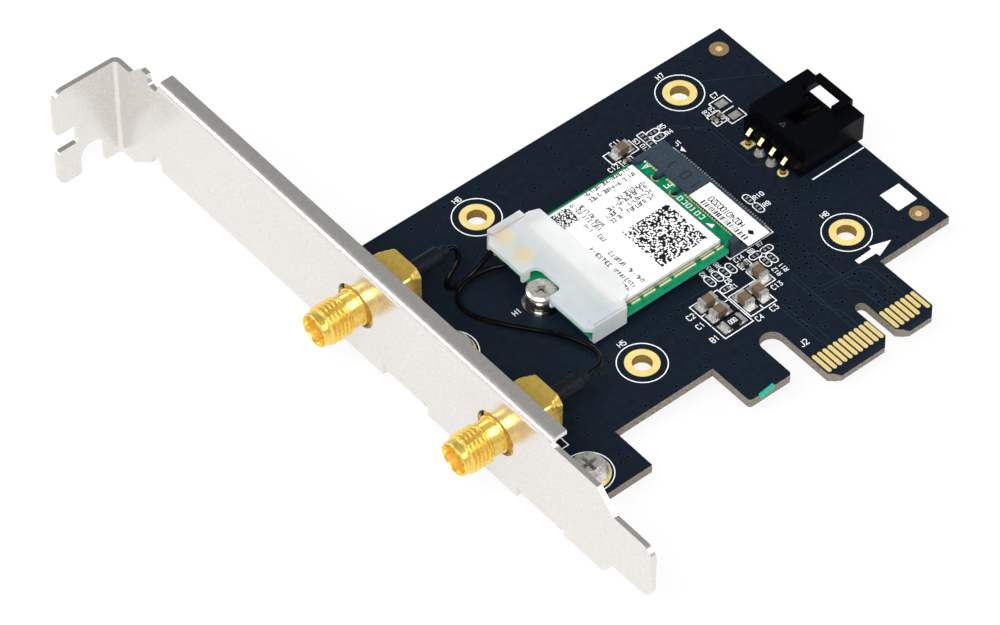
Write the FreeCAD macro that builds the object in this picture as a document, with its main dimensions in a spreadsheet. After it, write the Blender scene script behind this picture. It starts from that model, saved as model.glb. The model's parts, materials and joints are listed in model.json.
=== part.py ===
import FreeCAD, Part
import math
import os
import Sketcher
from FreeCAD import Placement, Rotation, Vector

# A PCI Express wifi card for a desktop computer, in millimetres.
# X runs along the card away from its bracket, with 0 at the middle of the key notch.
# Y runs along the bracket towards its screw tab, with 0 close to the ends of the gold fingers.
# Z is 0 at the board's component side and points away from the board.

os.makedirs("parts", exist_ok=True)
doc = FreeCAD.newDocument("WifiCard")
sheet = doc.addObject("Spreadsheet::Sheet", "Sizes")

BOARD_SIZES = {
    "board_thick": 1.57, "board_right": 21.83, "board_far": 61.8, "board_lower": 11.65,
    "board_gap": 0.5, "corner_low": 3.75, "corner_end": -42.25,
    "hook_left": -24.0, "hook_right": -16.0, "hook_tip": 3.75, "hook_round": 0.6, "gap_top": 11.9,
    "tongue_left": -12.15, "tongue_right": 8.15, "tongue_cut": 1.45, "tongue_tip": -0.87,
    "key_half": 0.95, "key_top": 7.6, "bevel_deep": 0.25, "bevel_long": 0.7,
    "pad_pitch": 1.0, "pad_width": 0.7, "pad_low": 0.55, "pad_high": 4.4, "pad_short": 1.4,
    "pad_thick": 0.04, "pads_first": 11, "pads_second": 7, "key_to_pad": 1.5,
    "hole_left": -30.95, "hole_across": 39.2, "hole_low": 18.86, "hole_along": 36.6,
    "hole_bore": 1.5, "hole_wall": 0.12, "hole_rim": 2.6, "rim_thick": 0.05,
    "dot_wide": 1.0, "dot_x": 18.8, "dot_low": 14.9, "dot_high": 58.6,
}
BRACKET_SIZES = {
    "plate_face": -58.8, "sheet_thick": 0.8, "plate_low": -3.0, "plate_wide": 18.42,
    "bracket_long": 120.02, "tab_top": 105.1, "tab_long": 11.43, "tab_wide": 19.05, "tab_drop": 3.6,
    "tab_corner": 2.0, "fold_round": 0.7,
    "neck_wide": 14.3, "neck_end": 94.2, "neck_notch": 1.25, "neck_turn": 98.0, "neck_start": 101.2,
    "rail_deep": 2.85, "rail_near": 6.3, "rail_bend": 1.3, "edge_drop": 1.1,
    "tip_wide": 10.19, "tip_low": 0.9, "tip_start": -6.9, "tip_round": 2.2,
    "shoulder_top": -3.4, "shoulder_low": -5.0, "end_raise": 0.9,
    "slot_middle": 2.1, "slot_wide": 3.6, "slot_end": -66.4, "slot_round": 0.5,
    "finger_round": 1.6, "notch_left": -66.15, "notch_right": -61.65, "notch_top": -1.3,
    "ear_middle": 8.4, "ear_spread": 29.4, "ear_wide": 8.4, "ear_long": 12.3, "ear_bend": 1.2,
    "ear_relief": 0.8, "ear_corner": 1.8, "screw_x": -50.0,
}
SCREW_SIZES = {
    "m3_major": 3.0, "m3_clear": 3.4, "m3_thread": 4.4, "m3_head": 5.8, "m3_head_tall": 1.9,
    "land_wide": 6.6, "cross_wide": 0.62, "cross_long": 2.9, "cross_deep": 1.1,
    "stand_foot": 5.6, "foot_tall": 0.35, "stand_wide": 4.6, "stand_groove": 3.9, "groove_tall": 0.35,
    "m2_major": 2.5, "m2_head": 4.5, "m2_head_tall": 0.75, "m2_cross": 2.2, "m2_cross_deep": 0.45,
}
JACK_SIZES = {
    "jack_low": 18.0, "jack_spread": 30.8, "jack_high": 6.4, "jack_square": 7.0, "jack_block": 8.85,
    "jack_end": 3.15, "jack_end_long": 2.3, "jack_out": 7.5, "jack_thread": 6.2, "jack_waist": 5.5,
    "thread_start": 2.4, "thread_end": 6.5, "jack_collar": 6.0, "collar_long": 0.5, "jack_mouth": 5.35,
    "jack_bore": 4.6, "bore_deep": 6.2, "jack_tunnel": 4.1, "hole_play": 1.3, "hole_tall": 6.45,
    "leg_thick": 1.0, "leg_hole": 1.5, "leg_below": 0.9, "leg_inset": 0.75, "leg_back": 3.0,
    "insulator_long": 3.4, "pin_wide": 0.94, "pin_free": 4.6,
    "sleeve_wide": 2.7, "sleeve_long": 5.75, "sleeve_neck": 1.8, "neck_long": 1.3, "sleeve_soft": 0.25,
    "lead_wide": 0.81,
}
MODULE_SIZES = {
    "module_middle": 36.7, "module_wide": 22.0, "module_long": 30.0, "module_end": -34.6,
    "module_thick": 0.8, "module_low": 1.6, "edge_wide": 19.85, "edge_long": 4.0,
    "notch_a": 6.4, "notch_e": 2.4, "notch_half": 0.6, "notch_deep": 3.5, "half_hole": 1.85,
    "shield_gap": 0.3, "shield_long": 19.9, "shield_wide": 19.8, "shield_tall": 1.25, "frame_tall": 0.55,
    "shield_wall": 0.2, "shield_round": 0.6, "label_thick": 0.08, "label_edge": 0.25,
    "finger_pitch": 0.5, "finger_wide": 0.35, "finger_long": 1.9,
    "socket_long": 21.9, "socket_tall": 3.2, "socket_behind": 2.8, "socket_over": 3.2,
    "socket_roof": 1.6, "socket_rib": 0.9, "socket_lug": 1.0, "tail_wide": 0.2, "tail_long": 2.15,
    "tail_thick": 0.15, "anchor_wide": 0.9, "anchor_long": 2.0, "anchor_inset": 0.65,
    "sticker_long": 12.9, "sticker_wide": 4.1, "sticker_thick": 0.08, "sticker_over": 1.9,
    "ant_x": -32.2, "ant_middle": 44.55, "ant_spread": 4.3, "ant_wide": 2.0, "ant_base": 0.24,
    "plug_wide": 2.2, "plug_tall": 0.85, "barrel_wide": 1.1, "barrel_high": 0.8, "plug_turn": -16.0, "barrel_long": 1.6,
}
CLIP_SIZES = {
    "clip_near": 25.2, "clip_far": 48.9, "clip_left": -35.8, "clip_right": -25.6, "clip_high": 4.65,
    "clip_wall": 0.75, "clip_play": 0.1, "clip_round": 1.2, "clip_foot": 1.2, "hook_deep": 0.7,
    "hook_thick": 0.35, "wall_left": -34.5, "wall_right": -28.4, "rib_wide": 1.1, "rib_tall": 0.6,
    "gap_half": 2.9, "gap_in": -33.0, "skirt_low": 2.55,
}
HEADER_SIZES = {
    "head_middle": 37.4, "head_wide": 12.4, "head_back": 11.15, "head_front": 22.75, "head_tall": 5.0,
    "head_wall": 0.8, "head_deep": 8.4, "head_pitch": 2.54, "head_pin": 0.64, "pin_high": 2.5,
    "pin_front": 20.6, "pin_bend": 0.5, "pin_below": 1.1, "solder_row": 9.1, "solder_wide": 1.7,
    "solder_tall": 0.9, "head_rise": 1.2, "arch_back": 19.4, "arch_half": 3.6, "arch_leg": 0.9,
    "arch_bar": 1.3, "window_back": 18.6, "window_half": 3.1, "track_back": 13.3, "track_half": 1.3,
    "ledge_deep": 0.8, "ledge_tall": 3.0,
}
CHIP_SIZES = {
    "cap_long": 2.6, "cap_wide": 1.45, "cap_tall": 1.25, "cap_end": 0.5,
    "link_long": 3.1, "link_wide": 1.6, "link_tall": 0.55, "link_end": 0.45,
    "wide_long": 4.3, "wide_wide": 1.75,
    "small_long": 1.0, "small_wide": 0.5, "small_tall": 0.4, "small_end": 0.25, "solder_thick": 0.06,
}


class Size:
    """A length with the expression that gives it, so that a feature starts right and stays linked."""

    def __init__(self, text, number):
        self.text = text
        self.number = number

    def __add__(self, other):
        other = as_size(other)
        return Size("(%s + %s)" % (self.text, other.text), self.number + other.number)

    def __sub__(self, other):
        other = as_size(other)
        return Size("(%s - %s)" % (self.text, other.text), self.number - other.number)

    def __mul__(self, other):
        other = as_size(other)
        return Size("(%s * %s)" % (self.text, other.text), self.number * other.number)

    def __truediv__(self, other):
        other = as_size(other)
        return Size("(%s / %s)" % (self.text, other.text), self.number / other.number)

    def __neg__(self):
        return Size("(0 - %s)" % self.text, -self.number)

    def __rsub__(self, other):
        return as_size(other) - self

    __radd__ = __add__
    __rmul__ = __mul__


def as_size(value):
    """Take a plain number or a Size."""
    return value if isinstance(value, Size) else Size("(%s)" % value, float(value))


class Sheet:
    """The spreadsheet's lengths by name."""


S = Sheet()
row = 1
for group in (BOARD_SIZES, BRACKET_SIZES, SCREW_SIZES, JACK_SIZES, MODULE_SIZES, CLIP_SIZES, HEADER_SIZES,
              CHIP_SIZES):
    for alias, value in group.items():
        sheet.set("A%d" % row, alias)
        sheet.set("B%d" % row, str(value))
        sheet.setAlias("B%d" % row, alias)
        setattr(S, alias, Size("Sizes." + alias, float(value)))
        row += 1
doc.recompute()


# Helpers for bodies and sketches

def link(item, name, value):
    """Bind one property of an object to the sheet."""
    item.setExpression(name, as_size(value).text)


def place(item, x=0, y=0, z=0):
    """Put an object at a place that the sheet gives."""
    link(item, "Placement.Base.x", x)
    link(item, "Placement.Base.y", y)
    link(item, "Placement.Base.z", z)


def new_body(name, x=0, y=0, z=0):
    body = doc.addObject("PartDesign::Body", name)
    body.Label = name
    body.AllowCompound = True
    place(body, x, y, z)
    return body


def new_sketch(body, name, role, at=0):
    """A sketch on one of the body's own planes: XY, XZ or YZ, moved to the coordinate at."""
    sketch = body.newObject("Sketcher::SketchObject", name)
    plane = next(item for item in body.Origin.OriginFeatures if item.Role == role + "_Plane")
    sketch.AttachmentSupport = (plane, [""])
    sketch.MapMode = "FlatFace"
    offset = -as_size(at) if role == "XZ" else as_size(at)
    link(sketch, "AttachmentOffset.Base.z", offset)
    return sketch


def fix(sketch, kind, element, point, value):
    """Hold one coordinate of a point, or a radius, at a value from the sheet."""
    value = as_size(value)
    if kind == "Radius":
        index = sketch.addConstraint(Sketcher.Constraint("Radius", element, value.number))
    else:
        index = sketch.addConstraint(Sketcher.Constraint(kind, -1, 1, element, point, value.number))
    sketch.setExpression("Constraints[%d]" % index, value.text)


def outline(sketch, points):
    """A closed outline through points of (x, y). Two further items make the way to the next point an arc:
    one coordinate of the arc's centre, its x where both ends share an x and its y otherwise, and the
    side, 1 for anticlockwise and -1 for clockwise."""
    count = len(points)
    items = []
    for number, point in enumerate(points):
        follow = points[(number + 1) % count]
        x0, y0 = as_size(point[0]).number, as_size(point[1]).number
        x1, y1 = as_size(follow[0]).number, as_size(follow[1]).number
        if len(point) == 2:
            item = sketch.addGeometry(Part.LineSegment(Vector(x0, y0, 0), Vector(x1, y1, 0)), False)
            items.append((item, 1, 2))
            continue
        given, side = as_size(point[2]), point[3]
        dx, dy = x1 - x0, y1 - y0
        upright = abs(dx) < 1e-6
        if upright:
            centre = Vector(given.number, (y0 + y1) / 2, 0)
        else:
            centre = Vector((x0 + x1) / 2 - dy * (given.number - (y0 + y1) / 2) / dx, given.number, 0)
        start = math.atan2(y0 - centre.y, x0 - centre.x)
        stop = math.atan2(y1 - centre.y, x1 - centre.x)
        if side < 0:
            start, stop = stop, start
        if stop <= start:
            stop += 2 * math.pi
        circle = Part.Circle(centre, Vector(0, 0, 1), math.hypot(x0 - centre.x, y0 - centre.y))
        item = sketch.addGeometry(Part.ArcOfCircle(circle, start, stop), False)
        items.append((item, 1, 2) if side > 0 else (item, 2, 1))
        fix(sketch, "DistanceX" if upright else "DistanceY", item, 3, given)
    for number in range(count):
        item, begin, end = items[number]
        other, other_begin, other_end = items[(number + 1) % count]
        sketch.addConstraint(Sketcher.Constraint("Coincident", item, end, other, other_begin))
        fix(sketch, "DistanceX", item, begin, points[number][0])
        fix(sketch, "DistanceY", item, begin, points[number][1])


def rectangle(sketch, x0, y0, x1, y1):
    outline(sketch, [(x0, y0), (x1, y0), (x1, y1), (x0, y1)])


def circle(sketch, x, y, radius):
    x, y, radius = as_size(x), as_size(y), as_size(radius)
    ring = Part.Circle(Vector(x.number, y.number, 0), Vector(0, 0, 1), radius.number)
    item = sketch.addGeometry(ring, False)
    fix(sketch, "DistanceX", item, 3, x)
    fix(sketch, "DistanceY", item, 3, y)
    fix(sketch, "Radius", item, 0, radius)


def stadium(sketch, x, y, half, radius, upright=False):
    """A slot with round ends, half to each side of its middle, along the sketch's first axis or upright."""
    x, y, half, radius = as_size(x), as_size(y), as_size(half), as_size(radius)
    if upright:
        outline(sketch, [(x + radius, y - half), (x + radius, y + half, y + half, 1),
                         (x - radius, y + half), (x - radius, y - half, y - half, 1)])
    else:
        outline(sketch, [(x - half, y - radius), (x + half, y - radius, x + half, 1),
                         (x + half, y + radius), (x - half, y + radius, x - half, 1)])


def pad(body, sketch, length, name, reverse=False, middle=False):
    feature = body.newObject("PartDesign::Pad", name)
    feature.Profile = sketch
    feature.Reversed = reverse
    feature.Midplane = middle
    link(feature, "Length", length)
    body.Tip = feature
    doc.recompute()
    return feature


def pocket(body, sketch, name, length=None, reverse=False):
    """Cut a sketch out of the body, right through it or to a depth."""
    feature = body.newObject("PartDesign::Pocket", name)
    feature.Profile = sketch
    if length is None:
        feature.Type = 1
        feature.Midplane = True
    else:
        feature.Reversed = reverse
        link(feature, "Length", length)
    before = body.Shape.Volume
    body.Tip = feature
    doc.recompute()
    if not feature.Shape.Volume < before - 1e-6:
        raise RuntimeError(name + " cuts nothing")
    return feature


def turned(body, sketch, name, axis="H_Axis", cut=False):
    """Turn a sketch about one of its own axes, as added or removed material."""
    feature = body.newObject("PartDesign::Groove" if cut else "PartDesign::Revolution", name)
    feature.Profile = sketch
    feature.ReferenceAxis = (sketch, [axis])
    feature.Angle = 360
    body.Tip = feature
    doc.recompute()
    return feature


def row_of(body, feature, sketch, name, pitch, copies, axis="H_Axis", back=False):
    """Repeat a feature along one of a sketch's own axes."""
    pattern = body.newObject("PartDesign::LinearPattern", name)
    pattern.Originals = [feature]
    pattern.Direction = (sketch, [axis])
    pattern.Reversed = back
    link(pattern, "Length", as_size(pitch) * (as_size(copies) - 1))
    link(pattern, "Occurrences", copies)
    body.Tip = pattern
    doc.recompute()
    return pattern


def edges_at(shape, test, along=None):
    """Names of the edges whose two ends and middle all pass a test of x, y and z, along one axis or any."""
    names = []
    for number, edge in enumerate(shape.Edges, start=1):
        middle = edge.valueAt((edge.FirstParameter + edge.LastParameter) / 2)
        spots = [vertex.Point for vertex in edge.Vertexes] + [middle]
        if not all(test(spot.x, spot.y, spot.z) for spot in spots):
            continue
        way = spots[0] - spots[1] if len(spots) == 3 else Vector()
        if along is None or (way.Length > 1e-6 and abs(way.dot(along)) > way.Length * 0.999):
            names.append("Edge%d" % number)
    return names


ALONG_X, ALONG_Y, ALONG_Z = Vector(1, 0, 0), Vector(0, 1, 0), Vector(0, 0, 1)


def near(value, target):
    return abs(value - as_size(target).number) < 0.01


def rounded(body, name, radius, test, along=None, kind="PartDesign::Fillet"):
    """Round or chamfer the edges that pass a test."""
    base = body.Tip
    names = edges_at(base.Shape, test, along)
    if not names:
        raise RuntimeError(name + " finds no edge")
    feature = body.newObject(kind, name)
    feature.Base = (base, names)
    link(feature, "Radius" if kind.endswith("Fillet") else "Size", radius)
    body.Tip = feature
    doc.recompute()
    if feature.Shape.isNull() or "Invalid" in feature.State:
        raise RuntimeError("%s fails on %d edges" % (name, len(names)))
    return feature


# Helpers for plain solids that repeat

def box(name, x0, y0, z0, x1, y1, z1):
    """A box between two corners."""
    item = doc.addObject("Part::Box", name)
    link(item, "Length", as_size(x1) - x0)
    link(item, "Width", as_size(y1) - y0)
    link(item, "Height", as_size(z1) - z0)
    place(item, x0, y0, z0)
    return item


def rod(name, x, y, z, radius, height):
    """An upright cylinder."""
    item = doc.addObject("Part::Cylinder", name)
    link(item, "Radius", radius)
    link(item, "Height", height)
    place(item, x, y, z)
    return item


def gather(name, items):
    """One node that holds several separate solids."""
    item = doc.addObject("Part::Compound", name)
    item.Label = name
    item.Links = items
    return item


def fuse(name, items):
    item = doc.addObject("Part::MultiFuse", name)
    item.Label = name
    item.Shapes = items
    return item


def cut(name, base, tool):
    item = doc.addObject("Part::Cut", name)
    item.Label = name
    item.Base = base
    item.Tool = tool
    return item


# Places that several pieces share

half = 0.5
plate_in = S.plate_face + S.sheet_thick
plate_top = S.plate_low + S.plate_wide
board_left = plate_in + S.board_gap
board_under = -S.board_thick
tab_low = S.plate_low - S.tab_drop
tab_high = tab_low + S.tab_wide
bracket_tip = S.tab_top - S.bracket_long
module_top = S.module_low + S.module_thick
shield_top = module_top + S.shield_tall
module_edge = S.module_end + S.module_long
module_shoulder = module_edge - S.edge_long
shield_near = module_shoulder - S.shield_gap
socket_back, socket_front = module_edge + S.socket_behind, module_edge - S.socket_over
socket_lip = module_edge - S.socket_roof
ear_middles = [S.ear_middle, S.ear_middle + S.ear_spread]
jack_middles = [S.jack_low, S.jack_low + S.jack_spread]
hole_spots = [(S.hole_left + S.hole_across * i, S.hole_low + S.hole_along * j) for i in (0, 1) for j in (0, 1)]
stand_spot = (S.module_end, S.module_middle)
pin_rows = [S.head_middle + S.head_pitch * (number - 1.5) for number in range(4)]
leg_near = plate_in + S.leg_inset
leg_far = plate_in + S.jack_block - S.leg_back
leg_side = S.jack_square / 2 - S.leg_inset


# The circuit board

def make_board():
    body = new_body("main_board")
    sketch = new_sketch(body, "board_outline", "XY")
    gap_round = (S.tongue_left - S.hook_right) / 2
    gap_centre = S.gap_top - gap_round
    key_centre = S.key_top - S.key_half
    tongue_turn = S.tongue_tip + S.tongue_cut
    outline(sketch, [
        (board_left, S.corner_low), (S.corner_end, S.corner_low), (S.corner_end, S.board_lower),
        (S.hook_left, S.board_lower), (S.hook_left, S.hook_tip), (S.hook_right, S.hook_tip),
        (S.hook_right, gap_centre, gap_centre, -1), (S.tongue_left, gap_centre),
        (S.tongue_left, tongue_turn), (S.tongue_left + S.tongue_cut, S.tongue_tip),
        (-S.key_half - S.tongue_cut, S.tongue_tip), (-S.key_half, tongue_turn),
        (-S.key_half, key_centre, key_centre, -1), (S.key_half, key_centre),
        (S.key_half, tongue_turn), (S.key_half + S.tongue_cut, S.tongue_tip),
        (S.tongue_right - S.tongue_cut, S.tongue_tip), (S.tongue_right, tongue_turn),
        (S.tongue_right, S.board_lower), (S.board_right, S.board_lower),
        (S.board_right, S.board_far), (board_left, S.board_far)])
    pad(body, sketch, S.board_thick, "board_sheet", reverse=True)
    rounded(body, "hook_corners", S.hook_round, lambda x, y, z: near(y, S.hook_tip) and (
        near(x, S.hook_left) or near(x, S.hook_right)), ALONG_Z)
    holes = new_sketch(body, "board_holes", "XY")
    for x, y in hole_spots:
        circle(holes, x, y, S.hole_bore + S.hole_wall)
    for middle in ear_middles:
        circle(holes, S.screw_x, middle, S.m3_clear / 2)
    for middle in jack_middles:
        for x in (leg_near, leg_far):
            for side in (-1, 1):
                circle(holes, x, middle + leg_side * side, S.leg_hole / 2)
    for y in pin_rows:
        circle(holes, S.solder_row, y, S.head_pin * 0.75)
    pocket(body, holes, "drilled_holes")
    for z0, side in ((0, 1), (board_under, -1)):
        wedge = new_sketch(body, "bevel_top" if side > 0 else "bevel_under", "YZ", S.tongue_left - 1)
        level = as_size(z0)
        tip, stop = S.tongue_tip, S.tongue_tip + S.bevel_long
        outline(wedge, [(tip - 0.1, level - S.bevel_deep * side), (tip, level - S.bevel_deep * side),
                        (stop, level), (stop, level + 0.1 * side), (tip - 0.1, level + 0.1 * side)])
        feature = pocket(body, wedge, "tip_bevel_top" if side > 0 else "tip_bevel_under",
                         S.tongue_right - S.tongue_left + 2, reverse=True)
    return body


def make_contacts(name, level, upward, short):
    """The gold edge contacts of one side. The contact that comes last as the card goes in is the short one."""
    body = new_body(name, 0, 0, level)
    reach = S.pad_width / 2
    rows = [("first", 1, S.pads_first), ("second", S.pads_first + 1, S.pads_second)]
    for part, start, copies in rows:
        numbers = range(int(as_size(start).number), int((as_size(start) + copies).number))
        parts = [[n for n in numbers if n < short], [n for n in numbers if n == short],
                 [n for n in numbers if n > short]]
        for index, group in enumerate(parts):
            if not group:
                continue
            sketch = new_sketch(body, "%s_%s_%d" % (name, part, index), "XY")
            low = S.pad_short if group == [short] else S.pad_low
            stadium(sketch, finger_x(group[0]), (low + S.pad_high) / 2, (S.pad_high - low) / 2 - reach, reach, True)
            feature = pad(body, sketch, S.pad_thick, "%s_%s_%d_pad" % (name, part, index), reverse=not upward)
            if len(group) > 1:
                row_of(body, feature, sketch, "%s_%s_%d_row" % (name, part, index), S.pad_pitch, len(group))
    return body


def finger_x(number):
    """Where an edge contact's middle is, counted from 1 at the bracket's end, past the key notch."""
    if number <= S.pads_first.number:
        return S.pad_pitch * (number - 1) - S.key_to_pad - S.pad_pitch * (S.pads_first - 1)
    return S.key_to_pad + S.pad_pitch * (number - 1 - S.pads_first)


def make_eyelets():
    """Plated holes: a thin barrel with a flat rim on each side of the board."""
    rings = []
    for number, (x, y) in enumerate(hole_spots, start=1):
        body = new_body("eyelet_%d" % number, x, y)
        sketch = new_sketch(body, "eyelet_%d_section" % number, "XZ")
        outer = S.hole_bore + S.hole_wall
        outline(sketch, [
            (S.hole_bore, board_under - S.rim_thick), (S.hole_rim, board_under - S.rim_thick),
            (S.hole_rim, board_under), (outer, board_under), (outer, 0), (S.hole_rim, 0),
            (S.hole_rim, S.rim_thick), (S.hole_bore, S.rim_thick)])
        turned(body, sketch, "eyelet_%d_turn" % number, "V_Axis")
        rings.append(body)
    return gather("plated_holes", rings)


def ring(name, x, y, z, outer, inner, height):
    return cut(name, rod(name + "_outer", x, y, z, outer, height), rod(name + "_inner", x, y, z, inner, height))


def make_lands():
    """Gold lands: rings under the bracket screws, the header's lands and the two marks for assembly."""
    items = []
    for number, middle in enumerate(ear_middles, start=1):
        items.append(ring("screw_land_%d" % number, S.screw_x, middle, 0, S.land_wide / 2, S.m3_clear / 2,
                          S.rim_thick))
    for number, y in enumerate(pin_rows, start=1):
        hole = S.head_pin * 0.75
        if number == 4:
            side = S.solder_wide / 2
            plate = box("land_plate", S.solder_row - side, y - side, 0, S.solder_row + side, y + side, S.rim_thick)
            items.append(cut("square_land", plate, rod("land_hole", S.solder_row, y, 0, hole, S.rim_thick)))
        else:
            items.append(ring("round_land_%d" % number, S.solder_row, y, 0, S.solder_wide / 2, hole, S.rim_thick))
    for number, y in enumerate((S.dot_low, S.dot_high), start=1):
        items.append(rod("mark_%d" % number, S.dot_x, y, 0, S.dot_wide / 2, S.rim_thick))
    return gather("gold_lands", items)


# The bracket: one sheet of steel with a folded tab, rail and two ears

def make_bracket():
    body = new_body("bracket")
    sketch = new_sketch(body, "plate_outline", "YZ", S.plate_face)
    middle = S.plate_low + S.plate_wide / 2
    neck_low, neck_high = middle - S.neck_wide / 2, middle + S.neck_wide / 2
    dent = S.neck_end + S.neck_notch * 2
    tip_high = S.tip_low + S.tip_wide
    ear_low = board_under - S.sheet_thick
    relief_top = ear_low + S.ear_bend + 0.2
    points = [
        (S.tab_top, tab_low), (S.tab_top, tab_high), (S.neck_start, tab_high), (S.neck_turn, plate_top),
        (dent, plate_top), (dent, neck_high + S.neck_notch, neck_high + S.neck_notch, -1),
        (S.neck_end, neck_high + S.neck_notch), (S.neck_end, plate_top), (S.rail_near, plate_top),
        (S.rail_near, plate_top - S.edge_drop), (S.shoulder_top, plate_top - S.edge_drop),
        (S.tip_start, tip_high), (bracket_tip, tip_high), (bracket_tip, S.tip_low), (S.tip_start, S.tip_low),
        (S.shoulder_low, S.plate_low + S.end_raise)]
    edge = S.plate_low + S.end_raise
    for ear in ear_middles:
        near_side, far_side = ear - S.ear_wide / 2, ear + S.ear_wide / 2
        points += [(near_side - S.ear_relief, edge), (near_side - S.ear_relief, relief_top),
                   (near_side, relief_top), (near_side, ear_low), (far_side, ear_low), (far_side, relief_top),
                   (far_side + S.ear_relief, relief_top), (far_side + S.ear_relief, S.plate_low)]
        edge = S.plate_low
    points += [
        (S.neck_end, S.plate_low), (S.neck_end, neck_low - S.neck_notch, neck_low - S.neck_notch, -1),
        (dent, neck_low - S.neck_notch), (dent, S.plate_low), (S.neck_start, tab_low)]
    outline(sketch, points)
    pad(body, sketch, S.sheet_thick, "plate")

    tab = new_sketch(body, "tab_outline", "XZ", S.tab_top)
    tab_end = S.plate_face - S.tab_long
    slot_low, slot_high = S.slot_middle - S.slot_wide / 2, S.slot_middle + S.slot_wide / 2
    notch_round = (S.notch_right - S.notch_left) / 2
    notch_centre = S.notch_top - notch_round
    outline(tab, [
        (plate_in, tab_low), (plate_in, tab_high), (tab_end, tab_high), (tab_end, slot_high),
        (S.slot_end, slot_high), (S.slot_end, slot_low), (tab_end, slot_low), (tab_end, tab_low),
        (S.notch_left, tab_low), (S.notch_left, notch_centre, notch_centre, -1),
        (S.notch_right, notch_centre), (S.notch_right, tab_low)])
    pad(body, tab, S.sheet_thick, "tab")

    rail = new_sketch(body, "rail_outline", "YZ", S.plate_face)
    rectangle(rail, S.rail_near, plate_top - S.sheet_thick, S.neck_end, plate_top)
    pad(body, rail, S.rail_deep, "rail")

    ears = new_sketch(body, "ear_outline", "XY", board_under)
    for ear in ear_middles:
        rectangle(ears, S.plate_face, ear - S.ear_wide / 2, S.plate_face + S.ear_long, ear + S.ear_wide / 2)
    pad(body, ears, S.sheet_thick, "ears", reverse=True)

    threads = new_sketch(body, "ear_threads", "XY", board_under)
    for ear in ear_middles:
        circle(threads, S.screw_x, ear, S.m3_major / 2)
    pocket(body, threads, "ear_holes", S.sheet_thick)
    windows = new_sketch(body, "jack_windows", "YZ", S.plate_face)
    for jack in jack_middles:
        stadium(windows, jack, S.jack_high, S.hole_play / 2, S.hole_tall / 2)
    pocket(body, windows, "jack_holes", S.sheet_thick, reverse=True)

    tab_under = S.tab_top - S.sheet_thick
    rounded(body, "tab_bend_inside", S.fold_round, lambda x, y, z: near(x, S.plate_face) and near(y, tab_under))
    rounded(body, "tab_bend_outside", S.fold_round + S.sheet_thick * 0.6,
            lambda x, y, z: near(x, plate_in) and near(y, S.tab_top))
    rounded(body, "rail_bend_outside", S.rail_bend, lambda x, y, z: near(x, S.plate_face) and near(z, plate_top)
            and y < S.neck_end.number + 0.1)
    rounded(body, "rail_bend_inside", S.rail_bend - S.sheet_thick,
            lambda x, y, z: near(x, plate_in) and near(z, plate_top - S.sheet_thick))
    rounded(body, "ear_bend_outside", S.ear_bend, lambda x, y, z: near(x, S.plate_face) and near(z, ear_low))
    rounded(body, "ear_bend_inside", S.ear_bend - S.sheet_thick,
            lambda x, y, z: near(x, plate_in) and near(z, board_under))
    rounded(body, "ear_corners", S.ear_corner, lambda x, y, z: near(x, S.plate_face + S.ear_long), ALONG_Z)
    rounded(body, "tip_corners", S.tip_round, lambda x, y, z: near(y, bracket_tip), ALONG_X)
    rounded(body, "tab_corner_round", S.tab_corner,
            lambda x, y, z: near(x, tab_end) and near(z, tab_high), ALONG_Y)
    rounded(body, "finger_corners", S.finger_round,
            lambda x, y, z: near(x, tab_end) and near(z, tab_low), ALONG_Y)
    rounded(body, "slot_mouth_corners", S.slot_round * 1.6, lambda x, y, z: near(x, tab_end) and (
        near(z, slot_low) or near(z, slot_high)), ALONG_Y)
    rounded(body, "slot_end_corners", S.slot_round, lambda x, y, z: near(x, S.slot_end), ALONG_Y)
    rounded(body, "notch_corner", S.slot_round * 1.6,
            lambda x, y, z: near(x, S.notch_left) and near(z, tab_low), ALONG_Y)
    return body


# Screws and the standoff

def cross_recess(body, name, top, wide, long, deep):
    sketch = new_sketch(body, name, "XY", top)
    a, b = as_size(wide) / 2, as_size(long) / 2
    outline(sketch, [(-b, -a), (-a, -a), (-a, -b), (a, -b), (a, -a), (b, -a), (b, a), (a, a), (a, b), (-a, b),
                     (-a, a), (-b, a)])
    pocket(body, sketch, name + "_cut", deep)


def make_bracket_screw(number, middle):
    """A pan-head screw through the board into the bracket's ear."""
    name = "bracket_screw_%d" % number
    body = new_body(name, S.screw_x, middle, S.rim_thick)
    sketch = new_sketch(body, name + "_section", "XZ")
    stop = -(S.board_thick + S.m3_thread - S.board_thick + S.rim_thick)
    head, tall = S.m3_head / 2, S.m3_head_tall
    outline(sketch, [(0, stop), (S.m3_major / 2 - 0.3, stop), (S.m3_major / 2, stop + 0.3), (S.m3_major / 2, 0),
                     (head, 0), (head, tall * 0.35), (head * 0.86, tall * 0.75), (head * 0.5, tall), (0, tall)])
    turned(body, sketch, name + "_turn", "V_Axis")
    cross_recess(body, name + "_cross", tall, S.cross_wide, S.cross_long, S.cross_deep)
    return body


def make_standoff():
    """A round standoff soldered to the board: foot, groove and seat, bored for the small screw."""
    body = new_body("module_standoff", stand_spot[0], stand_spot[1])
    sketch = new_sketch(body, "standoff_section", "XZ")
    foot, wide, slim = S.stand_foot / 2, S.stand_wide / 2, S.stand_groove / 2
    low = S.foot_tall
    bore = S.m2_major / 2
    outline(sketch, [(bore, 0), (foot, 0), (foot, low), (wide, low), (wide, low + 0.2),
                     (slim, low + 0.2), (slim, low + 0.2 + S.groove_tall), (wide, low + 0.2 + S.groove_tall),
                     (wide, S.module_low), (bore, S.module_low)])
    turned(body, sketch, "standoff_turn", "V_Axis")
    return body


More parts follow.
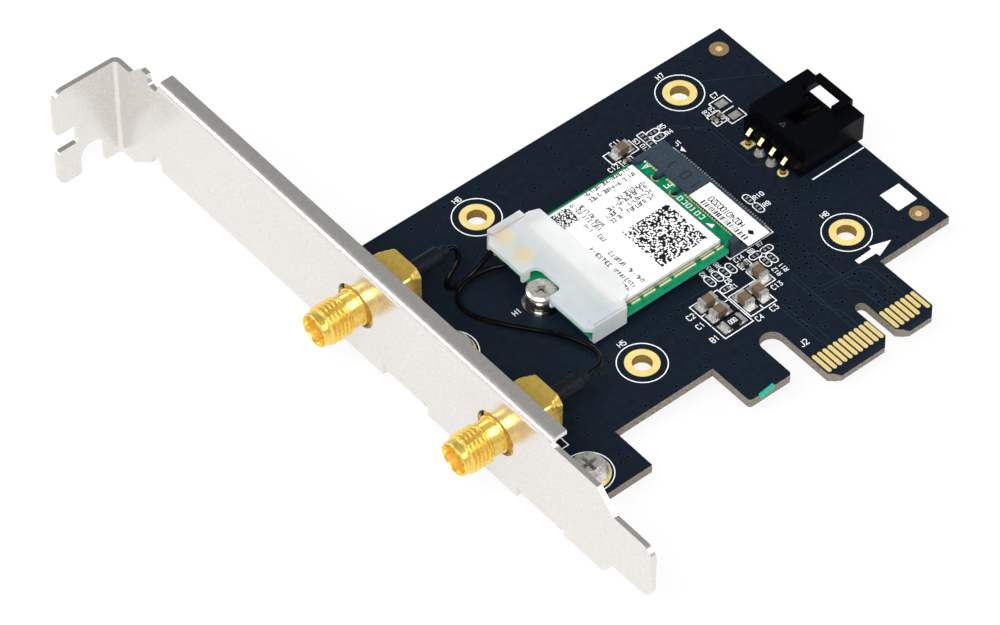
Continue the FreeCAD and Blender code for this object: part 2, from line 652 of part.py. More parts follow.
def make_module_screw():
    body = new_body("module_screw", stand_spot[0], stand_spot[1], module_top)
    sketch = new_sketch(body, "module_screw_section", "XZ")
    head, tall, neck = S.m2_head / 2, S.m2_head_tall, S.half_hole - 0.1
    shank = S.m2_major / 2
    outline(sketch, [(0, -module_top + 0.1), (shank, -module_top + 0.1), (shank, -S.module_thick),
                     (neck, -S.module_thick), (neck, 0), (head, 0), (head, tall * 0.6),
                     (head - 0.35, tall), (0, tall)])
    turned(body, sketch, "module_screw_turn", "V_Axis")
    cross_recess(body, "module_cross", tall, S.cross_wide * 0.8, S.m2_cross, S.m2_cross_deep)
    return body


# Antenna jacks: a turned and milled brass body, an insulator and a pin in each

def make_jack(number, middle):
    name = "antenna_jack_%d" % number
    body = new_body(name, plate_in, middle, S.jack_high)
    side = S.jack_square / 2
    square = new_sketch(body, name + "_square", "YZ")
    rectangle(square, -side, -side, side, side)
    pad(body, square, S.jack_block, name + "_block")
    taper = new_sketch(body, name + "_taper", "XZ")
    corner = side * math.sqrt(2) + 0.02
    outline(taper, [(S.jack_block, S.jack_end), (S.jack_block, corner + 0.3),
                    (S.jack_block - S.jack_end_long, corner + 0.3), (S.jack_block - S.jack_end_long, corner)])
    turned(body, taper, name + "_taper_turn", cut=True)
    barrel = new_sketch(body, name + "_barrel", "XZ")
    face = -S.sheet_thick
    waist, thread, collar = S.jack_waist / 2, S.jack_thread / 2, S.jack_collar / 2
    front = face - S.jack_out
    outline(barrel, [
        (0, 0), (0, collar), (face - S.collar_long, collar), (face - S.collar_long, waist),
        (face - S.thread_start, waist), (face - S.thread_start - 0.2, thread), (face - S.thread_end, thread),
        (face - S.thread_end, S.jack_mouth / 2), (front, S.jack_mouth / 2), (front, 0)])
    turned(body, barrel, name + "_barrel_turn")
    hollow = new_sketch(body, name + "_bore", "XZ")
    floor = front + S.bore_deep
    outline(hollow, [(front, 0), (front, S.jack_bore / 2), (floor, S.jack_bore / 2),
                     (floor, S.jack_tunnel / 2), (floor + S.insulator_long, S.jack_tunnel / 2),
                     (floor + S.insulator_long, 0)])
    turned(body, hollow, name + "_bore_turn", cut=True)
    legs = new_sketch(body, name + "_legs", "XY", -side)
    leg = S.leg_thick / 2
    for x in (S.leg_inset, S.jack_block - S.leg_back):
        for turn in (-1, 1):
            y = leg_side * turn
            rectangle(legs, x - leg, y - leg, x + leg, y + leg)
    pad(body, legs, S.jack_high - side + S.board_thick + S.leg_below, name + "_leg_pads", reverse=True)
    return body


def make_insulator(number, middle):
    """The white plug deep in a jack, bored for its pin."""
    name = "jack_insulator_%d" % number
    start = S.plate_face - S.jack_out + S.bore_deep
    body = new_body(name, start, middle, S.jack_high)
    sketch = new_sketch(body, name + "_section", "XZ")
    pin = S.pin_wide / 2
    outline(sketch, [(0, pin), (0, S.jack_tunnel / 2), (S.insulator_long, S.jack_tunnel / 2),
                     (S.insulator_long, pin)])
    turned(body, sketch, name + "_turn")
    return body


def make_jack_pin(number, middle):
    name = "jack_pin_%d" % number
    start = S.plate_face - S.jack_out + S.bore_deep
    body = new_body(name, start, middle, S.jack_high)
    sketch = new_sketch(body, name + "_section", "XZ")
    pin = S.pin_wide / 2
    outline(sketch, [(-S.pin_free, 0), (-S.pin_free, pin * 0.35), (0.3 - S.pin_free, pin),
                     (S.insulator_long, pin), (S.insulator_long, 0)])
    turned(body, sketch, name + "_turn")
    return body


def make_sleeve(number, middle):
    """The black sleeve over the crimp, with a slimmer neck where the lead leaves it."""
    name = "crimp_sleeve_%d" % number
    body = new_body(name, plate_in + S.jack_block, middle, S.jack_high)
    sketch = new_sketch(body, name + "_section", "XZ")
    wide, slim, soft = S.sleeve_wide / 2, S.sleeve_neck / 2, S.sleeve_soft
    stop = S.sleeve_long + S.neck_long
    outline(sketch, [(0, 0), (0, wide), (S.sleeve_long - soft, wide), (S.sleeve_long, wide - soft),
                     (S.sleeve_long + soft, slim), (stop - soft * 0.6, slim), (stop, slim - soft * 0.6), (stop, 0)])
    turned(body, sketch, name + "_turn")
    return body


# The two coax leads, plain tubes with straight runs and tangent arcs

def tube_path(points, name):
    """Straight runs between the points, joined by arcs, and the tightest arc's radius."""
    points = [Vector(*point) for point in points]
    cuts = [0.0] * len(points)
    radii = []
    for number in range(1, len(points) - 1):
        back, ahead = points[number - 1] - points[number], points[number + 1] - points[number]
        turn = math.pi - back.getAngle(ahead)
        cuts[number] = 0.45 * min(back.Length, ahead.Length)
        radii.append(cuts[number] / math.tan(turn / 2))
    edges = []
    start = points[0]
    for number in range(1, len(points)):
        step = points[number] - points[number - 1]
        step.normalize()
        stop = points[number] - step * cuts[number]
        edges.append(Part.LineSegment(start, stop).toShape())
        start = stop
        if cuts[number]:
            onward = points[number + 1] - points[number]
            onward.normalize()
            finish = points[number] + onward * cuts[number]
            chord = (stop + finish) * 0.5 - points[number]
            spread = back_angle(points, number)
            radius = radii[number - 1]
            reach = radius / math.cos(spread / 2) - radius
            chord.normalize()
            edges.append(Part.Arc(stop, points[number] + chord * reach, finish).toShape())
            start = finish
    length = sum(edge.Length for edge in edges)
    print(name, "tightest arc %.2f mm, length %.2f mm" % (min(radii), length),
          "radii", [round(radius, 1) for radius in radii])
    return Part.Wire(edges), length


def back_angle(points, number):
    """How far the route turns at a point."""
    back, ahead = points[number - 1] - points[number], points[number + 1] - points[number]
    return math.pi - back.getAngle(ahead)


def make_lead(name, points):
    path, length = tube_path(points, name)
    radius = S.lead_wide.number / 2
    along = path.Edges[0].tangentAt(path.Edges[0].FirstParameter)
    ring = Part.Wire([Part.makeCircle(radius, path.Edges[0].valueAt(path.Edges[0].FirstParameter), along)])
    tube = path.makePipeShell([ring], True, True)
    ratio = tube.Volume / (math.pi * radius * radius * length)
    print(name, "volume against section times length %.4f" % ratio)
    item = doc.addObject("Part::Feature", name)
    item.Label = name
    item.Shape = tube
    return item


def lead_routes():
    """Each lead starts at its sleeve's neck and ends in its plug's barrel. The first folds back under its
    sleeve and out again; the second sweeps across the board. The points between are chosen by hand."""
    start = (plate_in + S.jack_block + S.sleeve_long + S.neck_long).number
    high = S.jack_high.number
    level = (module_top + S.barrel_high).number
    near_y, far_y = jack_middles[0].number, jack_middles[1].number
    ends = []
    for (x, y), turn in zip(ant_spots(), (0.0, S.plug_turn.number)):
        reach = (S.plug_wide / 2 + S.barrel_long).number
        angle = math.radians(turn)
        ends.append((x.number - reach * math.cos(angle), y.number - reach * math.sin(angle), level, angle))
    x, y, z, angle = ends[0]
    lead_one = [
        (start, far_y, high), (start + 1.05, far_y, high), (start + 1.75, far_y - 0.4, high - 0.95),
        (start + 1.3, far_y - 1.0, high - 2.5), (start - 1.45, far_y - 1.7, high - 3.85),
        (start - 1.5, far_y - 1.85, high - 5.75), (start + 0.35, far_y - 2.3, high - 5.75),
        (start + 2.5, far_y - 2.65, high - 4.7), (start + 4.9, y - 0.35, level - 0.4),
        (x - 0.9, y, z), (x, y, z)]
    x, y, z, angle = ends[1]
    lead_two = [
        (start, near_y, high), (start + 2.1, near_y, high), (start + 4.3, near_y + 1.8, high - 0.95),
        (start + 5.2, near_y + 5.4, high - 2.25), (start + 4.1, near_y + 10.9, high - 3.7),
        (start + 0.6, near_y + 16.2, high - 4.4), (start - 2.5, near_y + 21.9, high - 5.0),
        (start - 2.6, near_y + 25.7, high - 5.1), (start - 0.7, near_y + 27.45, high - 4.8),
        (start + 2.3, near_y + 27.35, high - 4.05), (start + 5.0, near_y + 26.4, level - 0.3),
        (x - 1.2 * math.cos(angle), y - 1.2 * math.sin(angle), z), (x, y, z)]
    return lead_one, lead_two


# The card module, its shield and its socket

def make_module():
    body = new_body("module_board", 0, S.module_middle, S.module_low)
    sketch = new_sketch(body, "module_outline", "XY")
    wide, slim = S.module_wide / 2, S.edge_wide / 2
    edge = module_edge
    bottom = edge - S.notch_deep
    near_e, near_a = S.notch_e, S.notch_a
    points = [(S.module_end, -wide), (module_shoulder, -wide), (module_shoulder, -slim), (edge, -slim)]
    for middle in (near_e, near_a):
        points += [(edge, middle - S.notch_half), (bottom + S.notch_half, middle - S.notch_half, bottom + S.notch_half, -1),
                   (bottom + S.notch_half, middle + S.notch_half), (edge, middle + S.notch_half)]
    points += [(edge, slim), (module_shoulder, slim), (module_shoulder, wide), (S.module_end, wide)]
    outline(sketch, points)
    pad(body, sketch, S.module_thick, "module_sheet")
    bite = new_sketch(body, "module_bite", "XY")
    circle(bite, S.module_end, 0, S.half_hole)
    pocket(body, bite, "module_half_hole")
    return body


def make_module_fingers():
    """Thin contacts on both faces of the module's edge, clear of its two notches."""
    items = []
    edge = module_edge
    for face, z0 in (("top", module_top), ("under", S.module_low - S.pad_thick)):
        for number in range(-18, 19):
            spot = number * S.finger_pitch.number
            if min(abs(spot - S.notch_a.number), abs(spot - S.notch_e.number)) < S.notch_half.number + 0.35:
                continue
            middle = S.module_middle + S.finger_pitch * number
            items.append(box("finger_%s_%d" % (face, number + 18), edge - S.finger_long, middle - S.finger_wide / 2,
                             z0, edge - 0.2, middle + S.finger_wide / 2, z0 + S.pad_thick))
    return gather("module_contacts", items)


def make_shield_frame():
    """The shield's wall, open above and cut by slots along its foot."""
    body = new_body("shield_frame", 0, S.module_middle, module_top)
    left, right, side = shield_near - S.shield_long, shield_near, S.shield_wide / 2
    inset = S.shield_wall
    sketch = new_sketch(body, "frame_outline", "XY")
    rectangle(sketch, left + inset, -side + inset, right - inset, side - inset)
    rectangle(sketch, left + inset * 2, -side + inset * 2, right - inset * 2, side - inset * 2)
    pad(body, sketch, S.frame_tall, "frame_wall")
    slots = new_sketch(body, "frame_slots", "XZ", -side - 1)
    for number in range(4):
        start = left + S.shield_long * (0.06 + 0.235 * number)
        rectangle(slots, start, 0, start + S.shield_long * 0.16, S.frame_tall * 0.6)
    pocket(body, slots, "frame_slot_cut", S.shield_wide + 2)
    return body


def make_shield_lid():
    """The pressed lid, folded down over the frame."""
    body = new_body("shield_lid", 0, S.module_middle, module_top)
    left, right, side = shield_near - S.shield_long, shield_near, S.shield_wide / 2
    sketch = new_sketch(body, "lid_outline", "XY", S.frame_tall * 0.7)
    rectangle(sketch, left, -side, right, side)
    pad(body, sketch, S.shield_tall - S.frame_tall * 0.7, "lid_block")
    rounded(body, "lid_corners", S.shield_round, lambda x, y, z: True, ALONG_Z)
    inside = new_sketch(body, "lid_inside", "XY", S.frame_tall * 0.7)
    rectangle(inside, left + S.shield_wall, S.shield_wall - side, right - S.shield_wall, side - S.shield_wall)
    pocket(body, inside, "lid_hollow", S.shield_tall - S.frame_tall * 0.7 - S.shield_wall, reverse=True)
    rounded(body, "lid_edge", S.shield_wall * 0.75, lambda x, y, z: near(z, S.shield_tall))
    return body


def make_module_label():
    left, right = shield_near - S.shield_long + S.label_edge, shield_near - S.label_edge
    side = S.shield_wide / 2 - S.label_edge
    label = box("module_label", left, S.module_middle - side, shield_top, right, S.module_middle + side,
                shield_top + S.label_thick)
    label.Label = "module_label"
    return label


def make_socket():
    """The edge socket: an upper beam with end lugs, a mouth for the module's edge and a key rib."""
    body = new_body("socket_housing", 0, S.module_middle)
    side = S.socket_long / 2
    slim = S.edge_wide / 2 + 0.15
    sketch = new_sketch(body, "socket_outline", "XY")
    rib = S.notch_a
    outline(sketch, [
        (socket_back, -side), (socket_back, side), (socket_front, side), (socket_front, side - S.socket_lug),
        (socket_lip, side - S.socket_lug), (socket_lip, rib + S.notch_half - 0.15),
        (socket_lip - S.socket_rib, rib + S.notch_half - 0.15),
        (socket_lip - S.socket_rib, rib - S.notch_half + 0.15),
        (socket_lip, rib - S.notch_half + 0.15), (socket_lip, S.socket_lug - side),
        (socket_front, S.socket_lug - side), (socket_front, -side)])
    pad(body, sketch, S.socket_tall - 0.1, "socket_block")
    body.Tip = body.Tip
    mouth = new_sketch(body, "socket_mouth", "YZ", socket_front - 1)
    low, high = S.module_low - 0.12, module_top + 0.12
    gap = S.notch_half - 0.15
    outline(mouth, [(-slim, low), (rib - gap, low), (rib - gap, high), (-slim, high)])
    outline(mouth, [(rib + gap, low), (slim, low), (slim, high), (rib + gap, high)])
    edge = module_edge
    pocket(body, mouth, "socket_mouth_cut", edge + 0.1 - socket_front + 1, reverse=True)
    crown = new_sketch(body, "socket_crown", "XY", S.socket_tall - 0.1)
    rectangle(crown, socket_lip + 0.25, S.socket_lug - side, socket_back - 0.25, side - S.socket_lug)
    pad(body, crown, 0.1, "socket_top")
    slots = new_sketch(body, "socket_back_slots", "XY", S.socket_tall)
    rectangle(slots, socket_back - 0.35, S.socket_lug - side + 0.4, socket_back, side - S.socket_lug - 0.4)
    pocket(body, slots, "socket_back_step", 0.25)
    return body


def make_tails(name, x0, x1, shift):
    """A row of solder tails beside the socket."""
    items = []
    for number in range(-18, 19):
        middle = S.module_middle + S.finger_pitch * number + shift
        items.append(box("%s_%d" % (name, number + 18), x0, middle - S.tail_wide / 2, 0,
                         x1, middle + S.tail_wide / 2, S.tail_thick))
    return gather(name, items)


def make_socket_anchors():
    """The solder tabs that hold the socket's two ends."""
    items = []
    for number, turn in enumerate((-1, 1), start=1):
        wall = S.module_middle + S.socket_long / 2 * turn
        near_end, far_end = wall - S.anchor_inset * turn, wall - (S.anchor_inset + S.anchor_wide) * turn
        low, high = (near_end, far_end) if turn < 0 else (far_end, near_end)
        items.append(box("anchor_%d" % number, socket_back, low, 0, socket_back + S.anchor_long, high,
                         S.tail_thick))
    return gather("socket_anchors", items)


def make_sticker():
    """The paper label on the socket, longer than it at the near end."""
    end = S.module_middle - S.socket_long / 2 - S.sticker_over
    back = socket_back - 0.6
    label = box("socket_sticker", back - S.sticker_wide, end, S.socket_tall, back, end + S.sticker_long,
                S.socket_tall + S.sticker_thick)
    label.Label = "socket_sticker"
    return label


def ant_spots():
    return [(S.ant_x, S.ant_middle + S.ant_spread / 2), (S.ant_x, S.ant_middle - S.ant_spread / 2)]


def make_receptacles():
    """The two tiny coax sockets soldered to the module."""
    items = []
    for number, (x, y) in enumerate(ant_spots(), start=1):
        reach = S.ant_wide / 2
        base = box("receptacle_base_%d" % number, x - reach, y - reach, module_top, x + reach, y + reach,
                   module_top + S.ant_base)
        items.append(base)
    return gather("antenna_receptacles", items)


def make_plug(number, x, y, turn):
    """A right-angle plug pressed on a receptacle, with the barrel that grips the lead."""
    name = "antenna_plug_%d" % number
    cap = rod(name + "_cap", x, y, module_top + S.ant_base, S.plug_wide / 2, S.plug_tall)
    barrel = doc.addObject("Part::Cylinder", name + "_barrel")
    link(barrel, "Radius", S.barrel_wide / 2)
    link(barrel, "Height", S.plug_wide / 2 + S.barrel_long)
    about = Rotation(ALONG_Z, as_size(turn).number)
    barrel.Placement = Placement(Vector(), about.multiply(Rotation(ALONG_Y, -90)))
    place(barrel, x, y, module_top + S.barrel_high)
    return fuse(name, [cap, barrel])


# The clear clip over the module's end

def make_clip():
    body = new_body("retaining_clip")
    top, under = S.clip_high, S.clip_high - S.clip_wall
    sketch = new_sketch(body, "clip_outline", "XY", under)
    gap_low, gap_high = S.module_middle - S.gap_half, S.module_middle + S.gap_half
    outline(sketch, [
        (S.clip_left, S.clip_near + 0.8), (S.clip_left + 0.8, S.clip_near), (S.wall_right, S.clip_near),
        (S.wall_right + 0.4, S.clip_near + 1.4), (S.clip_right - 1.0, S.clip_near + 1.9),
        (S.clip_right, S.clip_near + 4.4), (S.clip_right, S.clip_far - 1.2), (S.clip_right - 1.6, S.clip_far - 0.6),
        (S.wall_right, S.clip_far - 0.6), (S.wall_right, S.clip_far), (S.wall_left + 0.6, S.clip_far),
        (S.clip_left, S.clip_far - 1.8),
        (S.clip_left, gap_high), (S.gap_in, gap_high), (S.gap_in, gap_low), (S.clip_left, gap_low)])
    pad(body, sketch, S.clip_wall, "clip_plate")
    rounded(body, "clip_gap_corners", S.clip_round, lambda x, y, z: near(x, S.gap_in), ALONG_Z)
    rounded(body, "clip_corners", S.clip_round / 3, lambda x, y, z: near(x, S.clip_right)
            or near(x, S.clip_left), ALONG_Z)

    walls = new_sketch(body, "clip_walls", "XY", S.clip_foot)
    module_near = S.module_middle - S.module_wide / 2 - S.clip_play
    module_far = S.module_middle + S.module_wide / 2 + S.clip_play
    for low, high in ((S.clip_near, module_near), (module_far, S.clip_far)):
        rectangle(walls, S.wall_left, low, S.wall_right, high)
    pad(body, walls, under - S.clip_foot + 0.05, "clip_side_walls")
    hooks = new_sketch(body, "clip_hooks", "XY", S.clip_foot)
    rectangle(hooks, S.wall_left, module_near - 0.1, S.wall_right, module_near + S.hook_deep)
    rectangle(hooks, S.wall_left, module_far - S.hook_deep, S.wall_right, module_far + 0.1)
    pad(body, hooks, S.hook_thick, "clip_hook_lips")

    skirts = new_sketch(body, "clip_skirts", "XY", S.skirt_low)
    thin = S.clip_wall * 0.7
    for low, high in ((gap_low - thin, gap_low), (gap_high, gap_high + thin)):
        rectangle(skirts, S.clip_left + 0.2, low, S.gap_in - S.clip_round, high)
    pad(body, skirts, under - S.skirt_low + 0.05, "clip_screw_skirts")

    ribs = new_sketch(body, "clip_ribs", "XY", top - 0.05)
    rectangle(ribs, S.wall_left, S.clip_near + 0.15, S.wall_right, S.clip_near + 0.15 + S.rib_wide)
    rectangle(ribs, S.wall_left, S.clip_far - S.rib_wide, S.wall_right, S.clip_far)
    pad(body, ribs, S.rib_tall + 0.05, "clip_top_ribs")
    return body


# The right-angle header for the cable to the main board

def make_header():
    body = new_body("header_housing", 0, S.head_middle)
    side, wall = S.head_wide / 2, S.head_wall
    sketch = new_sketch(body, "header_outline", "XZ", -side)
    outline(sketch, [
        (S.head_back - S.ledge_deep, 0), (S.head_front, 0), (S.head_front, S.head_tall),
        (S.head_back, S.head_tall), (S.head_back, S.ledge_tall), (S.head_back - S.ledge_deep, S.ledge_tall)])
    pad(body, sketch, S.head_wide, "header_block", reverse=True)
    arch = new_sketch(body, "header_arch", "XY", S.head_tall)
    rectangle(arch, S.arch_back, -S.arch_half, S.head_front, S.arch_half)
    pad(body, arch, S.head_rise, "header_arch_block")
    mouth = new_sketch(body, "header_mouth", "YZ", S.head_front)
    rectangle(mouth, wall - side, wall, side - wall, S.head_tall - wall)
    pocket(body, mouth, "header_mouth_cut", S.head_deep)
    window = new_sketch(body, "header_window", "XY", S.head_tall)
    outline(window, [
        (S.track_back, -S.track_half), (S.window_back, -S.track_half), (S.window_back, -S.window_half),
        (S.head_front, -S.window_half), (S.head_front, S.window_half), (S.window_back, S.window_half),
        (S.window_back, S.track_half), (S.track_back, S.track_half)])
    pocket_depth = wall + 0.05
    cutter = pocket(body, window, "header_window_cut", pocket_depth)
    under_arch = new_sketch(body, "header_arch_tunnel", "YZ", S.head_front)
    tunnel = S.window_half - 0.25
    rectangle(under_arch, -tunnel, S.head_tall - 0.05, tunnel, S.head_tall + S.head_rise - S.head_wall * 0.8)
    pocket(body, under_arch, "header_tunnel_cut", S.head_front - S.arch_back)
    opening = new_sketch(body, "header_arch_opening", "XY", S.head_tall + S.head_rise)
    rectangle(opening, S.arch_back, -tunnel + 0.3, S.head_front - S.arch_bar, tunnel - 0.3)
    pocket(body, opening, "header_arch_window", S.head_rise)
    pins = new_sketch(body, "header_pin_holes", "YZ", S.head_back - S.ledge_deep)
    reach = S.head_pin / 2
    for number in range(4):
        y = S.head_pitch * (number - 1.5)
        rectangle(pins, y - reach, S.pin_high - reach, y + reach, S.pin_high + reach)
    pocket(body, pins, "header_pin_cut", S.head_front - S.head_back, reverse=True)
    return body


def make_header_pins():
    """Four square pins, each bent down through the board behind the housing."""
    body = new_body("header_pins", 0, pin_rows[0])
    reach = S.head_pin / 2
    sketch = new_sketch(body, "pin_side", "XZ", -reach)
    bend = S.pin_bend + reach
    centre = S.pin_high - bend
    foot = board_under - S.pin_below
    outline(sketch, [
        (S.solder_row - reach, foot), (S.solder_row + reach, foot), (S.solder_row + reach, S.pin_high - reach),
        (S.pin_front, S.pin_high - reach), (S.pin_front, S.pin_high + reach),
        (S.solder_row - reach + bend, S.pin_high + reach), (S.solder_row - reach, centre + reach)])
    feature = pad(body, sketch, S.head_pin, "pin_strip", reverse=True)
    guide = new_sketch(body, "pin_guide", "XY")
    circle(guide, S.solder_row, 0, reach)
    guide.Visibility = False
    row_of(body, feature, guide, "pin_row", S.head_pitch, 4, "V_Axis")
    return body


def make_header_solder():
    """Solder domes round the two middle pins."""
    items = []
    for number, y in enumerate(pin_rows[1:3], start=1):
        cone = doc.addObject("Part::Cone", "solder_cone_%d" % number)
        link(cone, "Radius1", S.solder_wide / 2)
        link(cone, "Radius2", S.head_pin * 0.8)
        link(cone, "Height", S.solder_tall)
        place(cone, S.solder_row, y, S.rim_thick)
        reach = S.head_pin / 2
        pin = box("solder_gap_%d" % number, S.solder_row - reach, y - reach, 0, S.solder_row + reach, y + reach,
                  S.solder_tall + 1)
        items.append(cut("solder_dome_%d" % number, cone, pin))
    return gather("header_solder", items)


# Chip parts on the board

CAPACITORS = [("x", -16.45, 21.35), ("x", -16.45, 18.85), ("x", -6.3, 51.9), ("y", -12.1, 18.2),
              ("y", -9.45, 18.15), ("y", -7.0, 20.85)]
LINKS = [("x", -16.2, 16.25)]
SMALL_CHIPS = [("x", -7.35, 23.65), ("x", -6.95, 49.9), ("y", 8.5, 47.9), ("y", 9.7, 47.9)]
BARE_PADS = [("y", 1.7, 32.85), ("y", 1.72, 30.7), ("y", -13.3, 24.35), ("y", -11.8, 24.4), ("y", -10.5, 24.35),
             ("y", -9.25, 24.35), ("x", -12.4, 21.8), ("x", -4.9, 23.95), ("x", -2.8, 23.85), ("y", -4.55, 22.15),
             ("y", -3.35, 22.1), ("y", -1.8, 52.0), ("y", -1.85, 50.0), ("x", -0.17, 51.86), ("x", 0.0, 50.63)]
WIDE_PADS = [("y", 11.5, 48.35)]


def chip(name, kind, x, y, long, wide, tall, end):
    """One two-ended chip, as its body and its two ends."""
    length, width = as_size(long) / 2, as_size(wide) / 2
    spot_x, spot_y = as_size(x), as_size(y)
    lift = S.solder_thick

    def slab(part, start, stop, skin):
        if kind == "x":
            return box(name + part, spot_x + start, spot_y - width - skin, lift,
                       spot_x + stop, spot_y + width + skin, lift + tall + skin)
        return box(name + part, spot_x - width - skin, spot_y + start, lift,
                   spot_x + width + skin, spot_y + stop, lift + tall + skin)

    core = slab("_core", end - length, length - end, 0)
    ends = [slab("_end_low", -length, end - length, 0.03), slab("_end_high", length - end, length, 0.03)]
    return core, ends


def chip_pads(name, kind, x, y, long, wide, grow):
    """The two solder pads under a chip."""
    length, width = as_size(long) / 2 + grow, as_size(wide) / 2 + grow * 0.3
    inner = as_size(long) * 0.2
    spot_x, spot_y = as_size(x), as_size(y)
    items = []
    for part, turn in (("_pad_low", -1), ("_pad_high", 1)):
        a, b = (inner, length) if turn > 0 else (-length, -inner)
        if kind == "x":
            items.append(box(name + part, spot_x + a, spot_y - width, 0, spot_x + b, spot_y + width, S.solder_thick))
        else:
            items.append(box(name + part, spot_x - width, spot_y + a, 0, spot_x + width, spot_y + b, S.solder_thick))
    return items


def make_chips():
    cores, ends, pads = [], [], []
    for number, (kind, x, y) in enumerate(CAPACITORS, start=1):
        name = "capacitor_%d" % number
        core, caps = chip(name, kind, x, y, S.cap_long, S.cap_wide, S.cap_tall, S.cap_end)
        cores.append(core)
        ends += caps
        pads += chip_pads(name, kind, x, y, S.cap_long, S.cap_wide, 0.6)
    for number, (kind, x, y) in enumerate(SMALL_CHIPS, start=1):
        name = "small_capacitor_%d" % number
        core, caps = chip(name, kind, x, y, S.small_long, S.small_wide, S.small_tall, S.small_end)
        cores.append(core)
        ends += caps
        pads += chip_pads(name, kind, x, y, S.small_long, S.small_wide, 0.2)
    gather("capacitors", cores)
    gather("capacitor_ends", ends)
    links, link_ends = [], []
    for number, (kind, x, y) in enumerate(LINKS, start=1):
        name = "link_%d" % number
        core, caps = chip(name, kind, x, y, S.link_long, S.link_wide, S.link_tall, S.link_end)
        links.append(core)
        link_ends += caps
        pads += chip_pads(name, kind, x, y, S.link_long, S.link_wide, 0.6)
    links[0].Label = "link_resistor"
    gather("link_resistor_ends", link_ends)
    for number, (kind, x, y) in enumerate(BARE_PADS, start=1):
        pads += chip_pads("bare_%d" % number, kind, x, y, S.small_long, S.small_wide, 0.0)
    for number, (kind, x, y) in enumerate(WIDE_PADS, start=1):
        pads += chip_pads("wide_%d" % number, kind, x, y, S.wide_long, S.wide_wide, 0.0)
    gather("solder_pads", pads)
    return links[0]


# Make every piece and write one file for each

nodes = [make_board(), make_contacts("edge_contacts_front", 0, True, 17),
         make_contacts("edge_contacts_back", board_under, False, 1), make_eyelets(), make_lands(), make_bracket()]
screws = [make_bracket_screw(number, middle) for number, middle in enumerate(ear_middles, start=1)]
nodes.append(gather("bracket_screws", screws))
nodes += [make_standoff(), make_module_screw()]
for number, middle in enumerate(reversed(jack_middles), start=1):
    nodes += [make_jack(number, middle), make_insulator(number, middle), make_jack_pin(number, middle),
              make_sleeve(number, middle)]
routes = lead_routes()
nodes += [make_lead("coax_lead_1", routes[0]), make_lead("coax_lead_2", routes[1])]
nodes += [make_module(), make_module_fingers(), make_shield_frame(), make_shield_lid(), make_module_label()]
nodes += [make_socket(), make_tails("socket_tails_back", socket_back, socket_back + S.tail_long, 0.0),
          make_socket_anchors(), make_sticker(), make_receptacles()]
for number, ((x, y), turn) in enumerate(zip(ant_spots(), (0, S.plug_turn)), start=1):
    nodes.append(make_plug(number, x, y, turn))
nodes += [make_clip(), make_header(), make_header_pins(), make_header_solder()]
nodes.append(make_chips())
for label in ("capacitors", "capacitor_ends", "link_resistor_ends", "solder_pads"):
    nodes.append(doc.getObject(label))
doc.recompute()

for item in doc.Objects:
    if "Invalid" in item.State or "Error" in item.State:
        raise RuntimeError("%s did not build: %s" % (item.Name, item.State))
for node in nodes:
    shape = node.Shape
    if shape.isNull() or not shape.isValid():
        raise RuntimeError(node.Label + " has no valid shape")
for node in nodes:
    node.Shape.exportStep(os.path.join("parts", node.Label + ".step"))
print(len(nodes), "nodes written")
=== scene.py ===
import json
import math
import random

import bpy
from mathutils import Matrix, Vector


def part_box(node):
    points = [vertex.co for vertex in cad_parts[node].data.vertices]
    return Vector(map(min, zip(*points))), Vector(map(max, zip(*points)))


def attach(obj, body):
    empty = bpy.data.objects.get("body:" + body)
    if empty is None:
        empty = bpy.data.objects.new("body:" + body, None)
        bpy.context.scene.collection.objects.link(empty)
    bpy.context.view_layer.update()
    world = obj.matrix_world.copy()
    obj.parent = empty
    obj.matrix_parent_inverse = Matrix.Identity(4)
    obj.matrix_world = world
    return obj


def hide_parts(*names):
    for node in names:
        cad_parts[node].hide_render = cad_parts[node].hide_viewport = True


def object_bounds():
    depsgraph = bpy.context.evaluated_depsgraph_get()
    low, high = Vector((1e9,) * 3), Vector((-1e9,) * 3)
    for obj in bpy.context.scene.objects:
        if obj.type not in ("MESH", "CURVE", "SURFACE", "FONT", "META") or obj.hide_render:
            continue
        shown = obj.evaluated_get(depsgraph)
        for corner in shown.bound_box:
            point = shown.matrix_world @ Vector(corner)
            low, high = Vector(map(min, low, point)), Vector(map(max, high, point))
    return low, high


# The look of the wifi card. Lengths are in millimetres in the row frame, and MM turns them into metres.
# Nodes that keep their shape get a material; marks, threads and fine detail are pieces of their own.

MM = 0.001
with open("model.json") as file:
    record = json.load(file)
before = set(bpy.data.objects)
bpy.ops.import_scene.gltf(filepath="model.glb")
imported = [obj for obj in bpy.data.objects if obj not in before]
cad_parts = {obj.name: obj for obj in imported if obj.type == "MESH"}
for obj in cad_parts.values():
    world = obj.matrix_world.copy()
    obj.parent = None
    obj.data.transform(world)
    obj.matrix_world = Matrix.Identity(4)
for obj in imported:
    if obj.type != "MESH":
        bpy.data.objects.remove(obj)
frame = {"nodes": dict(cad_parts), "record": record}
cad_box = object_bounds()
nodes = frame["nodes"]
random.seed(7)


def low(node):
    """The lowest corner of a node, in millimetres."""
    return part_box(node)[0] / MM


def high(node):
    """The highest corner of a node, in millimetres."""
    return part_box(node)[1] / MM


# Heights read from the frame, and the thickness of white print and of thin print

BOARD_TOP = 0.0
LABEL_TOP = high("module_label")[2]
MODULE_TOP = high("module_board")[2]
SOCKET_TOP = high("socket_housing")[2]
STICKER_TOP = high("socket_sticker")[2]
HEADER_TOP = high("header_housing")[2]
CLIP_TOP = high("retaining_clip")[2]
SKIN, FILM = 0.03, 0.012


# Camera: the photograph's place and angle

